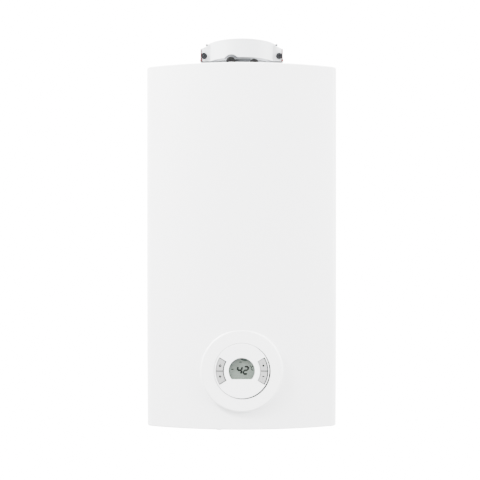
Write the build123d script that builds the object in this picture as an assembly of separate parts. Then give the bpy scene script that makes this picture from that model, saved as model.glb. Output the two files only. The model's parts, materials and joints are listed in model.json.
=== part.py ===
from build123d import *
from math import asin, atan2, cos, degrees, radians, sin, sqrt, tan
import os

# A room-sealed, wall-hung tankless gas water heater.
# Millimetres, +Z up. The wall is the plane y = 0 and the front faces -Y.
# The origin is the centre of the four wall fixing slots, on the wall plane.

# Casing
case_width = 300.0
case_height = 568.0
side_depth = 137.0  # from the wall to the casing's front corners
front_bow = 33.0  # how far the crest of the front stands ahead of the corners
corner_radius = 12.0
upright_height = 284.0  # the upper part of the front that stands upright
lean_radius = 5000.0  # below it the front rounds back towards its foot
cover_sheet = 1.2
cover_wall_gap = 4.0
return_width = 15.0  # the cover's turned-in edge at its top and foot
panel_sheet = 1.5
panel_gap = 0.5
seal_thickness = 2.0
seal_width = 7.0
seal_inset = 3.0
lip_height = 10.0
seal_gap = 0.1
cover_screw_x = 70.0
cover_screw_y = -132.0
cover_screw_radius = 2.0
cover_screw_head = 4.0
cover_slot_gap = 0.4
cover_tab_width = 24.0
cover_tab_reach = 11.0  # behind the screw
pad_radius = 7.0
screw_radius = 2.0
screw_flats = 7.0
screw_head = 3.0

# Wall fixing
slot_spacing_x = 220.0
slot_spacing_z = 480.0
slot_length = 14.0
slot_width = 7.0
rear_flange_depth = 30.0
flap_height = 16.0
bead_spacing = 70.0
bead_length = 380.0
bead_width = 14.0
bead_depth = 2.0

# Control panel, round, near the foot of the front
dial_height = 92.2  # above the casing's foot
boss_radius = 64.0
boss_stand = 0.4  # proud of the front at the top of the boss
boss_edge_radius = 3.0
fascia_radius = 42.3
fascia_gap = 0.8
fascia_stand = 1.0
fascia_plate = 2.5
fascia_flange_radius = 59.0
fascia_flange_sheet = 2.0
fascia_flange_bore = 41.2
screen_radius = 20.3
screen_flat = 13.1  # the straight lower edge, below the centre
lens_rim = 1.3
lens_thickness = 1.4
lcd_width = 42.0
lcd_height = 37.0
lcd_rise = 3.6  # its centre above the dial's
lcd_thickness = 2.8
key_inner_radius = 29.4
key_outer_radius = 39.2
key_half_angle = 29.5
key_gap = 0.45
key_stand = 0.8
key_travel = 0.8
key_flange_sheet = 1.0
key_flange_rim = 0.7
key_stem_radius = 2.2
key_stem_length = 3.0
switch_side = 7.0
switch_height = 3.5
switch_bore_gap = 0.2
switch_bore_depth = 2.0
board_radius = 44.6
board_sheet = 1.6
housing_radius = 47.0
housing_wall = 2.0
board_rim = 2.6  # the housing's step behind the board's edge
housing_room = 9.0  # behind the display board
stud_radius = 1.5
stud_circle_radius = 54.0
stud_hole_gap = 0.2
nut_flats = 5.5
nut_height = 2.4

# Concentric flue collar on the top
flue_offset = 85.0  # the flue's axis ahead of the wall
inner_flue_radius = 40.2
outer_flue_radius = 55.4
air_hole_radius = 51.0
collar_height = 30.5
collar_wall = 3.1
collar_shell_sheet = 2.0
ledge_height = 13.0  # the pipe's ledge above the casing's top
ledge_sheet = 2.0
base_flange_radius = 60.0
base_flange_sheet = 2.0
lobe_circle_radius = 64.0
lobe_radius = 7.0
ear_plane = 26.5  # the ears' parting plane ahead of the flue's axis
ear_reach = 65.1
ear_sheet = 3.0
ear_chamfer = 9.4
ear_step = 2.4  # the ears' tops below the shell's
gasket_sheet = 1.5
gasket_overhang = 1.1
collar_screw_spacing = 120.4
collar_screw_radius = 2.5
collar_screw_head_radius = 5.1
collar_screw_head_height = 3.2
socket_wall = 1.8
socket_length = 30.0
socket_drop = 3.0  # the socket's mouth below the pipe's ledge
lip_seal_height = 5.0
lip_seal_depth = 2.6
lip_seal_mouth = 6.0
left_port_x = 17.0
right_port_x = 19.5
left_cap_radius = 7.5
right_cap_radius = 5.0
left_port_height = 6.5  # centre above the casing's top
right_port_height = 3.6
port_bore_radius = 2.0
port_wall = 1.4
cap_reach = 11.0
cap_wall = 1.5
notch_rim = 5.3
liner_notch_gap = 1.5  # the liner's notch past the shell's

# Extractor fan
fan_outlet_width = 50.0
outlet_rise = 48.0  # from the fan's axis to its outlet
adapter_height = 18.0
cone_foot_radius = 30.5
flange_sheet = 2.0
flange_rim = 5.0
scroll_start_radius = 40.0
scroll_end_radius = 54.0
scroll_width = 44.0
scroll_wall = 2.0
inlet_radius = 27.0
impeller_radius = 36.0
impeller_hub_radius = 7.0
blade_inner_radius = 27.0
blade_count = 16
blade_sheet = 1.0
blade_width = 26.0
impeller_disc = 2.0
shroud_width = 3.0
impeller_gap = 5.0
shaft_radius = 3.0
bearing_gap = 0.05
bearing_radius = 6.0
bearing_length = 6.0
motor_radius = 28.0
motor_length = 36.0
motor_wall = 2.0
rotor_radius = 15.0
rotor_length = 18.0

# Hood, heat exchanger and burner
jacket_side_room = 37.0  # beside the jacket, for the coil's return bends
jacket_depth = 100.0
jacket_wall_gap = 20.0  # behind the jacket
jacket_sheet = 1.2
hood_sheet = 1.2
hood_height = 24.0
hood_fan_gap = 3.0
suction_half_width = 46.0
suction_rise = 36.0  # above the fan's axis
fin_height = 54.0
fin_margin = 5.0
fin_sheet = 0.8
fin_count = 7
fin_end_room = 15.0
fin_gap = 0.4
tube_radius = 8.0
tube_gap = 0.1
tube_pitch = 34.0
tube_stub = 5.0
chamber_height = 100.0
lining_thickness = 8.0
flange_reach = 6.0
rail_height = 16.0
rail_sheet = 1.5
rail_end_room = 18.0
burner_height = 52.0
burner_bars = 7
burner_side_room = 11.5
bar_thickness = 10.0
bar_height = 34.0
bar_slots = 5
bar_slot_width = 3.0
bar_slot_depth = 5.0
bar_slot_reach = 3.5
bar_port_radius = 4.0
bar_port_depth = 12.0
rack_sheet = 2.0
manifold_side = 16.0
manifold_gap = 6.0
manifold_end = 12.0  # past the outer bars
manifold_entry = 6.0  # the gas entry below the manifold
lug_width = 8.0
lug_sheet = 1.5
lug_rise = 12.0
injector_radius = 3.0
injector_length = 7.0
injector_bore = 0.7

# Gas and water
pipe_radius = 7.5
pipe_wall = 1.0
connection_offset = 60.0  # the connections ahead of the wall
connection_pitch = 80.0
connection_drop = 14.0  # below the casing's foot
water_thread_radius = 10.5
gas_thread_radius = 13.2
union_shoulder = 2.5  # the panel thread's radius past the connection's
union_hex_height = 7.0
lock_nut_flats = 32.0
gas_nut_flats = 38.0
lock_nut_height = 7.0
valve_width = 62.0
valve_depth = 46.0
valve_height = 60.0
valve_rise = 34.0  # above the foot panel
coil_radius = 15.0
coil_length = 30.0
armature_radius = 4.0
armature_length = 44.0
armature_travel = 2.5
armature_gap = 0.1
sensor_radius = 15.0
sensor_height = 50.0
sensor_bore_radius = 9.0
turbine_radius = 8.2
turbine_length = 12.0
turbine_blades = 5
turbine_shaft_radius = 1.5
sensor_rise = 18.0  # above the foot panel
spider_height = 4.0
spider_bar = 2.0

# Electrics
box_width = 80.0
box_depth = 38.0
box_wall = 2.0
box_corner = 4.0
box_side_room = 20.0  # beside the control box
box_rise = 65.3  # above the foot panel
box_gap = 24.7  # below the gas manifold
box_ahead = 33.0  # ahead of the connections
lid_sheet = 2.0
lid_lip = 4.0
lid_slits = 6
lid_slit_width = 2.5
post_side = 6.0
post_inset = 9.0
board_standoff = 6.0
board_margin = 4.0
bracket_sheet = 1.5
bracket_width = 32.0
bracket_depth = 22.0
bracket_screw_pitch = 16.0
gland_x = -36.0
gland_y = -116.0
gland_radius = 8.0
gland_bore = 4.0
gland_cap_radius = 9.0
gland_cap_drop = 13.0
gland_rise = 9.0
gland_nut_flats = 21.0
electrode_pitch = 16.0
electrode_rise = 14.0  # above the chamber's foot
insulator_radius = 3.5
insulator_length = 26.0
electrode_radius = 1.2
electrode_front = 14.0  # the insulators' front ahead of the chamber
igniter_width = 48.0
igniter_height = 34.0
igniter_depth = 24.0
igniter_drop = 12.0  # below the pipe joints
terminal_radius = 4.0
switch_side_room = 54.0  # from the casing's side to the pressure switch's centre
switch_radius = 20.0
switch_cap_radius = 16.0
switch_depth = 20.0
nipple_radius = 3.0
nipple_bore_radius = 1.8
nipple_length = 10.0
nipple_rise = 6.0  # the scroll's nipple above the fan's axis
hose_wall = 1.4
limiter_inset = 53.0  # from the jacket's side
limiter_radius = 8.0

# Levels and places that follow from the sizes above
quarter_turns = (45, 135, 225, 315)
case_top = case_height / 2
case_foot = -case_height / 2
half_width = case_width / 2
crest = -(side_depth + front_bow)
bow_radius = (half_width**2 + front_bow**2) / (2 * front_bow)
bow_centre = crest + bow_radius
lean_level = case_top - upright_height
lean_centre = crest + lean_radius
panel_inset = cover_sheet + panel_gap
top_face = case_top - cover_sheet - seal_thickness
foot_face = case_foot + cover_sheet + seal_thickness
flue_y = -flue_offset
over = foot_face + panel_sheet
jacket_width = case_width - 2 * jacket_side_room
fin_pitch = (jacket_width - 2 * fin_end_room) / fin_count
burner_pitch = (jacket_width - 2 * burner_side_room) / burner_bars
rail_length = jacket_width - 2 * rail_end_room


def around(radius, x=0, y=0):
    # Four points on a circle, halfway between the axes.
    return [(x + radius * cos(radians(a)), y + radius * sin(radians(a))) for a in quarter_turns]


stud_points = around(stud_circle_radius)
flue_screw_points = around(lobe_circle_radius, 0, flue_y)


def box(x0, x1, y0, y1, z0, z1):
    solid = Box(x1 - x0, y1 - y0, z1 - z0)
    return Pos((x0 + x1) / 2, (y0 + y1) / 2, (z0 + z1) / 2) * solid


def rod_x(radius, x0, x1, y, z):
    solid = Cylinder(radius, x1 - x0, align=(Align.CENTER, Align.CENTER, Align.MIN))
    return Pos(x0, y, z) * Rot(0, 90, 0) * solid


def rod_y(radius, y0, y1, x, z):
    solid = Cylinder(radius, y1 - y0, align=(Align.CENTER, Align.CENTER, Align.MIN))
    return Pos(x, y0, z) * Rot(-90, 0, 0) * solid


def rod_z(radius, z0, z1, x, y):
    solid = Cylinder(radius, z1 - z0, align=(Align.CENTER, Align.CENTER, Align.MIN))
    return Pos(x, y, z0) * solid


def prism_y(sketch, y0, y1):
    # The sketch's x stays x and its y becomes z.
    return Pos(0, y1, 0) * Rot(90, 0, 0) * extrude(sketch, amount=y1 - y0)


def prism_z(sketch, z0, z1):
    return Pos(0, 0, z0) * extrude(sketch, amount=z1 - z0)


def prism_x(sketch, x0, x1):
    # The sketch's x becomes y and its y becomes z.
    return Pos(x0, 0, 0) * Rot(90, 0, 90) * extrude(sketch, amount=x1 - x0)


def hexagon(flats):
    return RegularPolygon(flats / sqrt(3), 6)


def pipe(points, bend, radius):
    # Straight lengths joined by round bends through a chain of points.
    spots = [Vector(*point) for point in points]
    start = spots[0]
    solid = None
    for before, corner, after in zip(spots, spots[1:], spots[2:]):
        into = (corner - before).normalized()
        away = (after - corner).normalized()
        turn = into.get_angle(away)
        setback = bend * tan(radians(turn / 2))
        first = corner - into * setback
        length = extrude(Plane(origin=start, z_dir=into) * Circle(radius), amount=(first - start).length)
        inward = (away - into * into.dot(away)).normalized()
        hinge = Axis(first + inward * bend, into.cross(away))
        elbow = revolve(Plane(origin=first, z_dir=into) * Circle(radius), axis=hinge, revolution_arc=turn)
        solid = length + elbow if solid is None else solid + length + elbow
        start = corner + away * setback
    last = spots[-1] - start
    return solid + extrude(Plane(origin=start, z_dir=last.normalized()) * Circle(radius), amount=last.length)


def save(name, *shapes):
    solids = [solid for shape in shapes for solid in shape.solids()]
    export_step(Compound(label=name, children=solids), "parts/" + name + ".step")


# Casing


def casing_plan(inset, back):
    # The outline seen from above: two straight sides, a bowed front and rounded front corners.
    half = half_width - inset
    arc_radius = bow_radius - inset
    corner = bow_centre - sqrt(arc_radius**2 - half**2)
    sides = Polyline((-half, corner), (-half, back), (half, back), (half, corner))
    front = ThreePointArc((half, corner), (0, bow_centre - arc_radius), (-half, corner))
    plan = make_face([*sides.edges(), *front.edges()])
    rounding = max(corner_radius - inset, 1.0)
    return fillet(plan.vertices().sort_by(Axis.Y)[:2], rounding)


def casing_solid(inset, foot, top, back):
    # Upright above, and turned about a far axis behind below, so the front rounds back.
    plan = casing_plan(inset, back + 20)
    upper = prism_z(plan, lean_level, top + 1)
    turn = degrees(asin((lean_level - foot) / (lean_centre - back - 20))) + 0.2
    axle = Axis((0, lean_centre, lean_level), (1, 0, 0))
    lower = revolve(Pos(0, 0, lean_level) * plan, axis=axle, revolution_arc=turn)
    room = box(-half_width - 1, half_width + 1, crest - 1, back, foot, top)
    return (upper + lower) & room


def lean_at(level):
    # How far the front stands back at a level below the upright part.
    drop = max(lean_level - level, 0)
    return lean_radius - sqrt(lean_radius**2 - drop**2)


dial_level = case_foot + dial_height
boss_face = crest + lean_at(dial_level + boss_radius) - boss_stand
boss_back = boss_face + cover_sheet


def boss_disc(radius, front, back):
    return rod_y(radius, front, back, 0, dial_level)


def front_cover():
    outside = casing_solid(0, case_foot, case_top, -cover_wall_gap)
    rims = [e for e in outside.edges() if abs(e.center().Z) > case_top - 0.1]
    outside = chamfer([e for e in rims if e.center().Y < -cover_wall_gap - 1], cover_sheet)
    depth = front_bow / 2
    boss = boss_disc(boss_radius, boss_face, boss_face + depth)
    rim = boss.edges().filter_by(GeomType.CIRCLE).sort_by(Axis.Y)[0]
    outside = outside.fuse(fillet(rim, boss_edge_radius), tol=0.001)
    inside = casing_solid(cover_sheet, case_foot + cover_sheet, case_top - cover_sheet, 1)
    inside += boss_disc(boss_radius - boss_edge_radius, boss_back, boss_back + depth)
    inside += boss_disc(fascia_radius + fascia_gap, boss_face - 5, boss_back + depth)
    mouth = casing_solid(return_width, case_foot - 1, case_top + 1, 1)
    slot = cover_screw_radius + cover_slot_gap
    half = cover_tab_width / 2
    tab_back = cover_screw_y + cover_tab_reach
    for side in (-1, 1):
        # A tab on the turned-in foot, with a slot that is open to the back.
        x = side * cover_screw_x
        mouth -= box(x - half, x + half, crest, tab_back, case_foot - 2, case_foot + cover_sheet)
    cover = outside - inside - mouth
    for side in (-1, 1):
        x = side * cover_screw_x
        levels = (case_foot - 1, case_foot + cover_sheet + 1)
        cover -= rod_z(slot, *levels, x, cover_screw_y)
        cover -= box(x - slot, x + slot, cover_screw_y, tab_back + 1, *levels)
    for x, z in stud_points:
        cover += rod_y(stud_radius, boss_back - 0.5, boss_back + 9, x, dial_level + z)
    return cover


def panel_tray(level, depth):
    # A flat sheet inside the cover's outline with a lip of this depth, down or up from it.
    shift = lean_at(level)
    outline = Pos(0, shift) * casing_plan(panel_inset, 0)
    inner = Pos(0, shift) * casing_plan(panel_inset + panel_sheet, 0)
    foot, top = min(level, level + depth), max(level, level + depth)
    sheet = panel_sheet if depth > 0 else -panel_sheet
    room = prism_z(inner, min(level + sheet, level + 2 * depth), max(level + sheet, level + 2 * depth))
    levels = sorted((level + sheet, level + 2 * depth))
    behind = box(-half_width, half_width, -rear_flange_depth - 1, shift + 1, *levels)
    tray = prism_z(outline, foot, top) - room - behind
    return tray - box(-half_width, half_width, 0, shift + 1, foot - 1, top + 1)


def rear_flap(foot, top):
    reach = half_width - panel_inset - panel_sheet - 1
    return box(-reach, reach, -2 * panel_sheet - 0.05, -panel_sheet - 0.05, foot, top)


def top_panel():
    under = top_face - panel_sheet
    plate = panel_tray(top_face, -panel_sheet - lip_height)
    plate += rear_flap(under - flap_height, under)
    plate -= rod_z(air_hole_radius, under - 1, top_face + 1, 0, flue_y)
    for x, y in flue_screw_points:
        plate -= rod_z(screw_radius, under - 1, top_face + 1, x, y)
    return plate


connections = {"hot": -connection_pitch, "gas": 0.0, "cold": connection_pitch}
connection_y = -connection_offset
thread_radii = {"hot": water_thread_radius, "gas": gas_thread_radius, "cold": water_thread_radius}
shank_radii = {name: radius + union_shoulder for name, radius in thread_radii.items()}
thread_gap = 0.3


def foot_panel():
    over = foot_face + panel_sheet
    plate = panel_tray(foot_face, panel_sheet + lip_height)
    plate += rear_flap(over, over + flap_height)
    for name, x in connections.items():
        hole = shank_radii[name] + thread_gap
        plate -= rod_z(hole, foot_face - 1, over + 1, x, connection_y)
    for side in (-1, 1):
        x = side * cover_screw_x
        plate += rod_z(pad_radius, foot_face - seal_thickness + seal_gap, over, x, cover_screw_y)
        plate -= rod_z(cover_screw_radius, case_foot, over + 1, x, cover_screw_y)
    plate -= rod_z(gland_radius, foot_face - 1, over + 1, gland_x, gland_y)
    for x in bracket_screw_xs:
        plate -= rod_z(screw_radius, foot_face - 1, over + 1, x, bracket_screw_y)
    return plate


def rear_panel():
    foot = foot_face + panel_sheet
    top = top_face - panel_sheet
    reach = half_width - panel_inset
    inner = reach - panel_sheet
    tray = box(-reach, reach, -rear_flange_depth, 0, foot, top)
    tray -= box(-inner, inner, -rear_flange_depth - 1, -panel_sheet, foot - 1, top + 1)
    for x in (-bead_spacing, 0, bead_spacing):
        bead = SlotOverall(bead_length, bead_width)
        groove = SlotOverall(bead_length - 2 * panel_sheet, bead_width - 2 * panel_sheet)
        place = Pos(x, 0, 0) * Rot(0, 90, 0)
        tray += place * prism_y(bead, -panel_sheet - bead_depth, -panel_sheet)
        tray -= place * prism_y(groove, -bead_depth, 1)
    for x in (-slot_spacing_x / 2, slot_spacing_x / 2):
        for z in (-slot_spacing_z / 2, slot_spacing_z / 2):
            slot = Pos(x, z) * SlotOverall(slot_length, slot_width)
            tray -= prism_y(slot, -5, 1)
    return tray


def cover_seal(foot, top):
    outer = casing_solid(panel_inset + seal_inset, foot, top, -rear_flange_depth)
    inner = casing_solid(panel_inset + seal_inset + seal_width, foot - 1, top + 1, 1)
    return outer - inner


def cover_seals():
    upper = cover_seal(top_face, case_top - cover_sheet - seal_gap)
    lower = cover_seal(case_foot + cover_sheet + seal_gap, foot_face)
    return [upper, lower]


def cover_screws():
    solids = []
    for side in (-1, 1):
        x = side * cover_screw_x
        head = rod_z(cover_screw_head, case_foot - 2.6, case_foot - 0.1, x, cover_screw_y)
        shank = rod_z(cover_screw_radius, case_foot - 0.1, foot_face + 6, x, cover_screw_y)
        solids.append(head + shank)
    return solids


# Control panel


window_gap = 0.1
lens_sink = 0.4
fascia_face = boss_face - fascia_stand
plate_back = fascia_face + fascia_plate
flange_front = boss_back + 0.05
flange_back = flange_front + fascia_flange_sheet
key_flange_back = plate_back + 0.05 + key_flange_sheet
stem_entry = 0.5
stem_end = key_flange_back + key_stem_length
board_front = stem_end - stem_entry + switch_height
board_back = board_front + board_sheet
housing_back = board_back + housing_room + housing_wall
lens_back = plate_back + lens_thickness


def dial(sketch, front, back):
    # A flat shape drawn about the dial's centre, x to the right and y up.
    return Pos(0, 0, dial_level) * prism_y(sketch, front, back)


def screen_shape(grow):
    disc = Circle(screen_radius + grow)
    side = 2 * (screen_radius + grow)
    return disc - Pos(0, -screen_flat - grow - side / 2) * Rectangle(side, side)


def sector(inner, outer, first, last):
    # Part of a ring between two angles in degrees.
    middle = (first + last) / 2
    inside = [(inner * cos(radians(a)), inner * sin(radians(a))) for a in (first, middle, last)]
    outside = [(outer * cos(radians(a)), outer * sin(radians(a))) for a in (last, middle, first)]
    edges = [
        ThreePointArc(*inside),
        Line(inside[2], outside[0]),
        ThreePointArc(*outside),
        Line(outside[2], inside[0]),
    ]
    return make_face([edge for curve in edges for edge in curve.edges()])


def fascia():
    body = dial(Circle(fascia_radius), fascia_face, flange_back)
    body = chamfer(body.edges().sort_by(Axis.Y)[0], 0.5)
    body += dial(Circle(fascia_flange_radius), flange_front, flange_back)
    body += dial(Circle(fascia_radius), flange_front, board_front)
    body -= dial(Circle(fascia_flange_bore), plate_back, board_front + 1)
    body -= dial(screen_shape(0), fascia_face - 1, plate_back + 1)
    for middle in (0, 180):
        window = sector(
            key_inner_radius - key_gap,
            key_outer_radius + key_gap,
            middle - key_half_angle - 0.5,
            middle + key_half_angle + 0.5,
        )
        body -= dial(window, fascia_face - 1, plate_back + 1)
    for x, z in stud_points:
        hole = Pos(x, z) * Circle(stud_radius + stud_hole_gap)
        body -= dial(hole, flange_front - 1, flange_back + 1)
    return body


def screen_lens():
    front = dial(screen_shape(-window_gap), fascia_face + lens_sink, plate_back + 0.1)
    return front + dial(screen_shape(lens_rim), plate_back + 0.02, lens_back)


def lcd_module():
    middle = Pos(0, lcd_rise)
    glass = dial(middle * Rectangle(lcd_width, lcd_height), lens_back + 0.05, lens_back + lcd_thickness)
    backlight = middle * Rectangle(lcd_width - 6, lcd_height - 8)
    return glass + dial(backlight, lens_back + lcd_thickness, board_front)


def key(side, upper):
    # side is -1 for left and 1 for right; the angle grows from the split line.
    split = degrees(key_gap / key_inner_radius)
    angles = sorted([split, key_half_angle]) if upper else [-key_half_angle, -split]
    if side < 0:
        angles = [180 - angles[1], 180 - angles[0]]
    cap = dial(
        sector(key_inner_radius, key_outer_radius, *angles),
        fascia_face - key_stand,
        key_flange_back,
    )
    rim = key_flange_rim + key_gap
    flange = dial(
        sector(key_inner_radius - rim, key_outer_radius + rim, *angles),
        plate_back + 0.05,
        key_flange_back,
    )
    x, z = key_centre(side, upper)
    stem = dial(Pos(x, z) * Circle(key_stem_radius), key_flange_back, stem_end)
    return cap + flange + stem


def key_centre(side, upper):
    middle = radians(key_half_angle / 2)
    radius = (key_inner_radius + key_outer_radius) / 2
    return side * radius * cos(middle), (1 if upper else -1) * radius * sin(middle)


key_places = {
    "key_power": (-1, True),
    "key_reset": (-1, False),
    "key_plus": (1, True),
    "key_minus": (1, False),
}


def key_switches():
    solids = []
    for side, upper in key_places.values():
        x, z = key_centre(side, upper)
        body = dial(Pos(x, z) * Rectangle(switch_side, switch_side), board_front - switch_height, board_front)
        side_length = 2 * (key_stem_radius + switch_bore_gap)
        bore = Pos(x, z) * Rectangle(side_length, side_length)
        front = board_front - switch_height
        solids.append(body - dial(bore, front - 1, front + switch_bore_depth))
    return solids


def display_board():
    board = dial(Circle(board_radius), board_front, board_back)
    chip = dial(Rectangle(14, 14), board_back, board_back + 1.4)
    socket = dial(Pos(0, -24) * Rectangle(18, 7), board_back, board_back + 6)
    socket -= dial(Pos(0, -24) * Rectangle(15, 4.5), board_back + 1.5, board_back + 7)
    return board + chip + socket


def display_housing():
    cup = dial(Circle(housing_radius), flange_back, housing_back)
    room = housing_radius - housing_wall
    cup -= dial(Circle(room), flange_back - 1, board_back + 0.05)
    cup -= dial(Circle(room - board_rim), flange_back - 1, housing_back - housing_wall)
    for x, z in stud_points:
        angle = degrees(atan2(z, x))
        lug = Rot(0, 0, angle) * Pos(housing_radius + 2, 0) * Rectangle(10, 11)
        end = Pos(x, z) * Circle(5.5)
        cup += dial((lug + end) - Circle(room), flange_back, flange_back + 2)
        cup -= dial(Pos(x, z) * Circle(stud_radius + stud_hole_gap), flange_back - 1, flange_back + 3)
    cable = Pos(0, -24) * Rectangle(20, 9)
    cup -= dial(cable, housing_back - housing_wall - 1, housing_back + 1)
    for place in range(-2, 3):
        slit = Pos(place * 7, 20) * Rectangle(2.5, 16)
        cup -= dial(slit, housing_back - housing_wall - 1, housing_back + 1)
    return cup


def fascia_nuts():
    solids = []
    for x, z in stud_points:
        ring = Pos(x, z) * (hexagon(nut_flats) - RegularPolygon(stud_radius / cos(radians(22.5)), 8))
        solids.append(dial(ring, flange_back + 2, flange_back + 2 + nut_height))
    return solids


# Concentric flue collar


ledge_top = case_top + ledge_height
collar_top = ledge_top + collar_height
shell_outer = outer_flue_radius + collar_wall
shell_inner = shell_outer - collar_shell_sheet
ear_y = flue_y - ear_plane
ear_front = ear_y - gasket_sheet / 2
ear_back = ear_y + gasket_sheet / 2
ear_root = shell_inner - ear_chamfer / 2
collar_screw_level = ledge_top + 9.5
left_port_level = case_top + left_port_height
right_port_level = case_top + right_port_height
ports = [
    (-left_port_x, left_port_level, left_cap_radius),
    (right_port_x, right_port_level, right_cap_radius),
]
nipple_reach = 9.0


def ring_sector(outer, inner, foot, top, y0, y1):
    # A ring about the flue's axis, kept between two planes across it.
    ring = rod_z(outer, foot, top, 0, flue_y) - rod_z(inner, foot - 1, top + 1, 0, flue_y)
    return ring & box(-90, 90, y0, y1, foot, top)


def ear_outline(reach):
    return Polygon(
        (-reach, ledge_top),
        (reach, ledge_top),
        (reach, collar_top - ear_chamfer),
        (ear_root, collar_top - ear_step),
        (-ear_root, collar_top - ear_step),
        (-reach, collar_top - ear_chamfer),
        align=None,
    )


def ear_pair(reach, y0, y1, clear):
    pair = prism_y(ear_outline(reach), y0, y1)
    pair -= rod_z(clear, ledge_top - 1, collar_top + 1, 0, flue_y)
    for side in (-1, 1):
        x = side * collar_screw_spacing / 2
        pair -= rod_y(collar_screw_radius + 0.2, y0 - 1, y1 + 1, x, collar_screw_level)
    return pair


def collar_front():
    front = flue_y - shell_outer - 1
    shell = ring_sector(shell_outer, shell_inner, ledge_top + 0.1, collar_top, front, ear_front)
    shell += ear_pair(ear_reach, ear_front - ear_sheet, ear_front, shell_inner)
    left_x, left_level, left_radius = ports[0]
    shell -= rod_y(left_radius + notch_rim, front - 1, flue_y, left_x, left_level)
    return shell


def flue_base():
    plate_top = top_face + base_flange_sheet
    base = rod_z(base_flange_radius, top_face, plate_top, 0, flue_y)
    for x, y in flue_screw_points:
        base += rod_z(lobe_radius, top_face, plate_top, x, y)
    base += rod_z(outer_flue_radius, plate_top, ledge_top - ledge_sheet, 0, flue_y)
    base += rod_z(shell_outer, ledge_top - ledge_sheet, ledge_top, 0, flue_y)
    base -= rod_z(air_hole_radius, top_face - 1, ledge_top + 1, 0, flue_y)
    for x, y in flue_screw_points:
        base -= rod_z(screw_radius + 0.2, top_face - 1, plate_top + 1, x, y)
    for x, level, radius in ports:
        seat = ring_front(x)
        base += rod_y(radius - cap_wall - 0.05, seat - nipple_reach, seat + 3, x, level)
        base -= rod_y(port_bore_radius, seat - nipple_reach - 1, seat + 8, x, level)
    back = ring_sector(shell_outer, shell_inner, ledge_top - 0.5, collar_top, ear_back, 0)
    back += ear_pair(ear_reach, ear_back, ear_back + ear_sheet, shell_inner)
    return base + back


def ring_front(x):
    # Where the base ring's outer face stands at this x.
    return flue_y - sqrt(outer_flue_radius**2 - x**2)


def port_caps():
    solids = []
    for x, level, radius in ports:
        seat = ring_front(x)
        back = flue_y - sqrt(shell_outer**2 - (abs(x) - radius) ** 2) - 0.3
        cap = rod_y(radius, seat - cap_reach, back, x, level)
        rim = cap.edges().filter_by(GeomType.CIRCLE).sort_by(Axis.Y)[0]
        cap = chamfer(rim, radius / 5)
        bore = radius - cap_wall
        cap -= rod_y(bore, seat - nipple_reach - 0.05, seat, x, level)
        solids.append(cap)
    return solids


def collar_gasket():
    liner = ring_sector(shell_inner - 0.02, outer_flue_radius, ledge_top + 0.15, collar_top - 1, -200, 0)
    left_x, left_level, left_radius = ports[0]
    liner -= rod_y(left_radius + notch_rim + liner_notch_gap, -200, flue_y, left_x, left_level)
    tabs = ear_pair(ear_reach + gasket_overhang, ear_front + 0.02, ear_back - 0.02, shell_inner - 0.5)
    return liner + tabs


def collar_screws():
    solids = []
    for side in (-1, 1):
        x = side * collar_screw_spacing / 2
        front = ear_front - ear_sheet
        back = ear_back + ear_sheet
        head = rod_y(collar_screw_head_radius, front - collar_screw_head_height, front, x, collar_screw_level)
        recess = Pos(x, collar_screw_level) * (Rectangle(6, 1.2) + Rectangle(1.2, 6))
        head -= prism_y(recess, front - collar_screw_head_height - 1, front - 1.6)
        shank = rod_y(collar_screw_radius, front, back + 6, x, collar_screw_level)
        nut = prism_y(Pos(x, collar_screw_level) * hexagon(8), back, back + 4)
        solids += [head + shank, nut - rod_y(collar_screw_radius, back - 1, back + 5, x, collar_screw_level)]
    return solids


socket_top = ledge_top - socket_drop
socket_foot = socket_top - socket_length
socket_outer = inner_flue_radius + socket_wall


def inner_socket():
    bulge = lip_seal_depth + socket_wall
    groove_top = socket_top - lip_seal_mouth
    groove_foot = groove_top - lip_seal_height
    socket = rod_z(socket_outer, socket_foot, socket_top, 0, flue_y)
    socket += rod_z(inner_flue_radius + bulge, groove_foot - socket_wall, groove_top + socket_wall, 0, flue_y)
    socket -= rod_z(inner_flue_radius, socket_foot - 1, socket_top + 1, 0, flue_y)
    return socket - rod_z(inner_flue_radius + lip_seal_depth, groove_foot, groove_top, 0, flue_y)


def socket_lip_seal():
    groove_top = socket_top - lip_seal_mouth
    foot = groove_top - lip_seal_height + 0.1
    top = groove_top - 0.1
    outer = inner_flue_radius + lip_seal_depth - 0.1
    profile = Polygon(
        (outer, foot),
        (outer, top),
        (outer - 1.2, top),
        (inner_flue_radius + 0.2, foot + 1.4),
        (inner_flue_radius + 0.2, foot + 0.6),
        (outer - 1.2, foot),
        align=None,
    )
    section = Rot(90, 0, 0) * profile
    return Pos(0, flue_y, 0) * revolve(section, axis=Axis.Z)


# Extractor fan


fan_x = fan_outlet_width / 2 - scroll_end_radius
adapter_foot = socket_foot - adapter_height
fan_level = adapter_foot - outlet_rise
scroll_back = flue_y + scroll_width / 2
scroll_front = flue_y - scroll_width / 2
scroll_growth = (scroll_end_radius - scroll_start_radius) / 3
opening_radius = impeller_radius + 2
plate_radius = opening_radius + 5
motor_front = scroll_front - motor_length
rotor_back = scroll_front - bearing_length - 4
nipple_level = fan_level + nipple_rise
switch_x = half_width - switch_side_room
lug_points = [(fan_x + side * 37, fan_level - 45) for side in (-1, 1)]


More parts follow.
